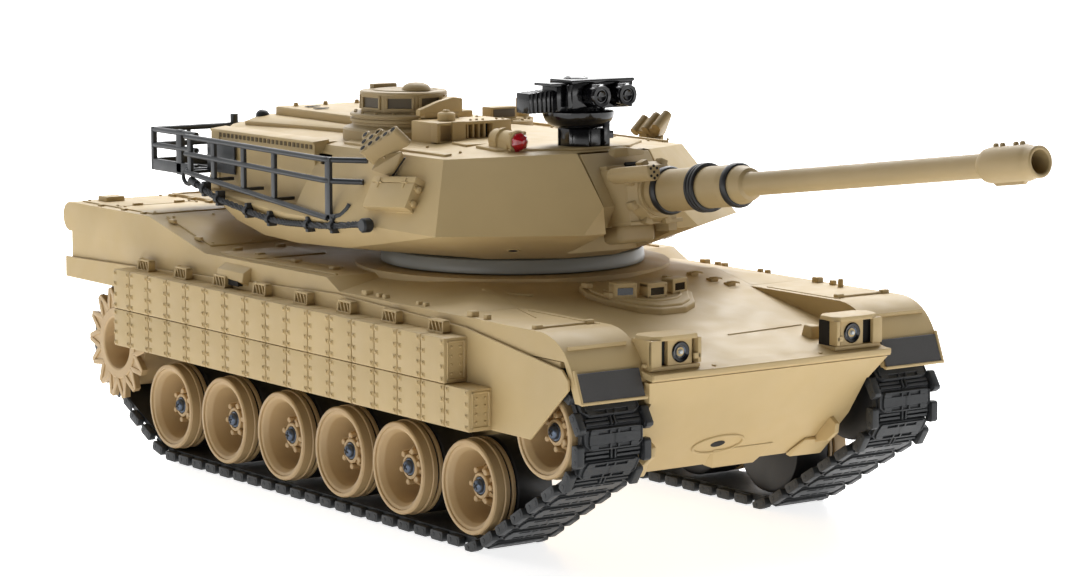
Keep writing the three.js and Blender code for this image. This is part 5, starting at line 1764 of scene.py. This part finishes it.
def barrel():
    return along_gun(
        [
            (0, 185), (3.5, 185), (3.5, 202.6), (3.9, 203), (4.4, 203), (4.75, 202.6), (4.75, 199.9),
            (5.0, 199.2), (5.4, 197.6), (5.4, 183.2), (5.1, 181.4), (4.1, 179.8), (3.7, 179.4), (3.75, 130),
            (3.8, 71.6), (4.1, 71.0), (5.2, 70.4), (5.6, 69.2), (5.75, 68.2), (6.15, 67.4), (6.25, 66.6),
            (6.3, 61.2), (6.75, 60.4), (6.8, 59.4), (6.9, 44.8), (7.0, 44.4), (7.0, 40), (7.05, 18.4),
            (0, 18.4),
        ],
    )


def muzzle_fittings():
    knobs = [lathe([(0, 4.9), (0.85, 4.9), (0.85, 6.0), (0.5, 6.4), (0, 6.4)], 14).shifted(0, -s, 0)
             for s in (184.8, 187.6, 193.2, 196)]
    fin = prism([(-182.6, -4.8), (-197.2, -4.8), (-195.6, -6.2), (-184.4, -6.2)], "x", -0.8, 0.8, 0.25)
    return gather(knobs + [fin])


# Painted shade: the gun barrel takes the darker copy of the tan plastic.
gun_piece("gun_barrel", barrel() + muzzle_fittings(), "tan_plastic", TAN_SHADED, ["gun_barrel"])


# Start, length, inner and outer radius, and number of ribs.
BANDS = (
    (26.6, 2.8, 7.1, 8.1, 1),
    (45.2, 4.6, 7.1, 8.1, 3),
    (62.8, 2.8, 6.4, 7.4, 1),
)


def band(start, length, inner, outer, ribs):
    """A black rubber band with rounded ribs."""
    profile = [(inner, start)]
    width = length / ribs
    for i in range(ribs):
        s = start + i * width
        profile += [
            (outer - 0.5, s + width * 0.02), (outer - 0.08, s + width * 0.22), (outer, s + width * 0.5),
            (outer - 0.08, s + width * 0.78), (outer - 0.5, s + width * 0.98),
        ]
    profile += [(inner, start + length), (inner, start)]
    return along_gun(profile)


for index, (start, length, inner, outer, ribs) in enumerate(BANDS):
    node = f"barrel_band_{index + 1}"
    gun_piece(node, band(start, length, inner, outer, ribs), "black_rubber", replaces=[node])


# ------------------------------------------------------------------ studio and camera


MIDDLE = Vector((0, 0, 0.06))


def studio():
    """A pale floor and four soft lamps."""
    floor_mesh = bpy.data.meshes.new("floor")
    reach = 6.0
    corners = [(-reach, -reach, 0), (reach, -reach, 0), (reach, reach, 0), (-reach, reach, 0)]
    floor_mesh.from_pydata(corners, [], [(0, 1, 2, 3)])
    floor = bpy.data.objects.new("floor", floor_mesh)
    bpy.context.scene.collection.objects.link(floor)
    floor.location.z = -0.0003
    paper = material(
        "floor_white", (0.93, 0.93, 0.93), 0.3, grain=200, bump=0.0, mottle=0.0, streak=0.0,
        Emission_Color=(1, 1, 1, 1), Emission_Strength=0.8,
    )
    floor_mesh.materials.append(paper)
    room_light()

    lamps = [
        ("key", (0.95, 0.95, 1.5), (1.1, 1.1), 27.0),
        ("top", (-0.1, 0.6, 1.5), (1.6, 1.6), 7.0),
        ("low", (-1.5, -0.2, 0.08), (1.4, 0.12), 2.5),
        ("front", (0.45, -1.5, 0.1), (1.2, 0.15), 1.2),
    ]
    for name, place, size, power in lamps:
        lamp = bpy.data.lights.new(name, "AREA")
        lamp.shape = "RECTANGLE"
        lamp.size, lamp.size_y = size
        lamp.energy = power
        made = bpy.data.objects.new(name, lamp)
        bpy.context.scene.collection.objects.link(made)
        made.location = place
        made.rotation_euler = (MIDDLE - made.location).to_track_quat("-Z", "Y").to_euler()


def toward(nodes, links, direction, heading, dots, strengths):
    """A brightness that changes smoothly with the angle from a heading."""
    turned = nodes.new("ShaderNodeVectorMath")
    turned.operation = "DOT_PRODUCT"
    turned.inputs[1].default_value = Vector(heading).normalized()
    links.new(direction, turned.inputs[0])
    ramp = nodes.new("ShaderNodeMapRange")
    ramp.interpolation_type = "SMOOTHSTEP"
    ramp.inputs["From Min"].default_value, ramp.inputs["From Max"].default_value = dots
    ramp.inputs["To Min"].default_value, ramp.inputs["To Max"].default_value = strengths
    links.new(turned.outputs["Value"], ramp.inputs["Value"])
    return ramp.outputs["Result"]


def room_light():
    """A pale room: a bright far backdrop, and dim overhead and at the near side."""
    world = bpy.data.worlds.new("studio")
    bpy.context.scene.world = world
    world.use_nodes = True
    nodes, links = world.node_tree.nodes, world.node_tree.links
    sky = nodes["Background"]
    direction = nodes.new("ShaderNodeTexCoord").outputs["Generated"]
    total = nodes.new("ShaderNodeMath")
    total.operation = "ADD"
    near_side = toward(nodes, links, direction, (-0.5, -0.6, 0.5), (0.0, 0.6), (0.85, 0.03))
    backdrop = toward(nodes, links, direction, (0.58, 0.81, 0.12), (0.6, 0.95), (0.0, 1.2))
    links.new(near_side, total.inputs[0])
    links.new(backdrop, total.inputs[1])
    links.new(total.outputs["Value"], sky.inputs["Strength"])
    sky.inputs["Color"].default_value = (1, 1, 1, 1)


CAMERA_PLACE = (-0.6795, -0.92675, 0.2272)
CAMERA_TURN = (82.446, 0, -35.794)
LENS_MM = 111.23
SENSOR_MM = 36


def camera():
    lens = bpy.data.cameras.new("camera")
    lens.lens = LENS_MM
    lens.sensor_width = SENSOR_MM
    lens.clip_start = 0.05
    lens.clip_end = 50
    made = bpy.data.objects.new("camera", lens)
    bpy.context.scene.collection.objects.link(made)
    made.location = CAMERA_PLACE
    made.rotation_euler = [math.radians(turn) for turn in CAMERA_TURN]
    bpy.context.scene.camera = made


studio()
camera()
bpy.context.scene.view_settings.view_transform = "Standard"
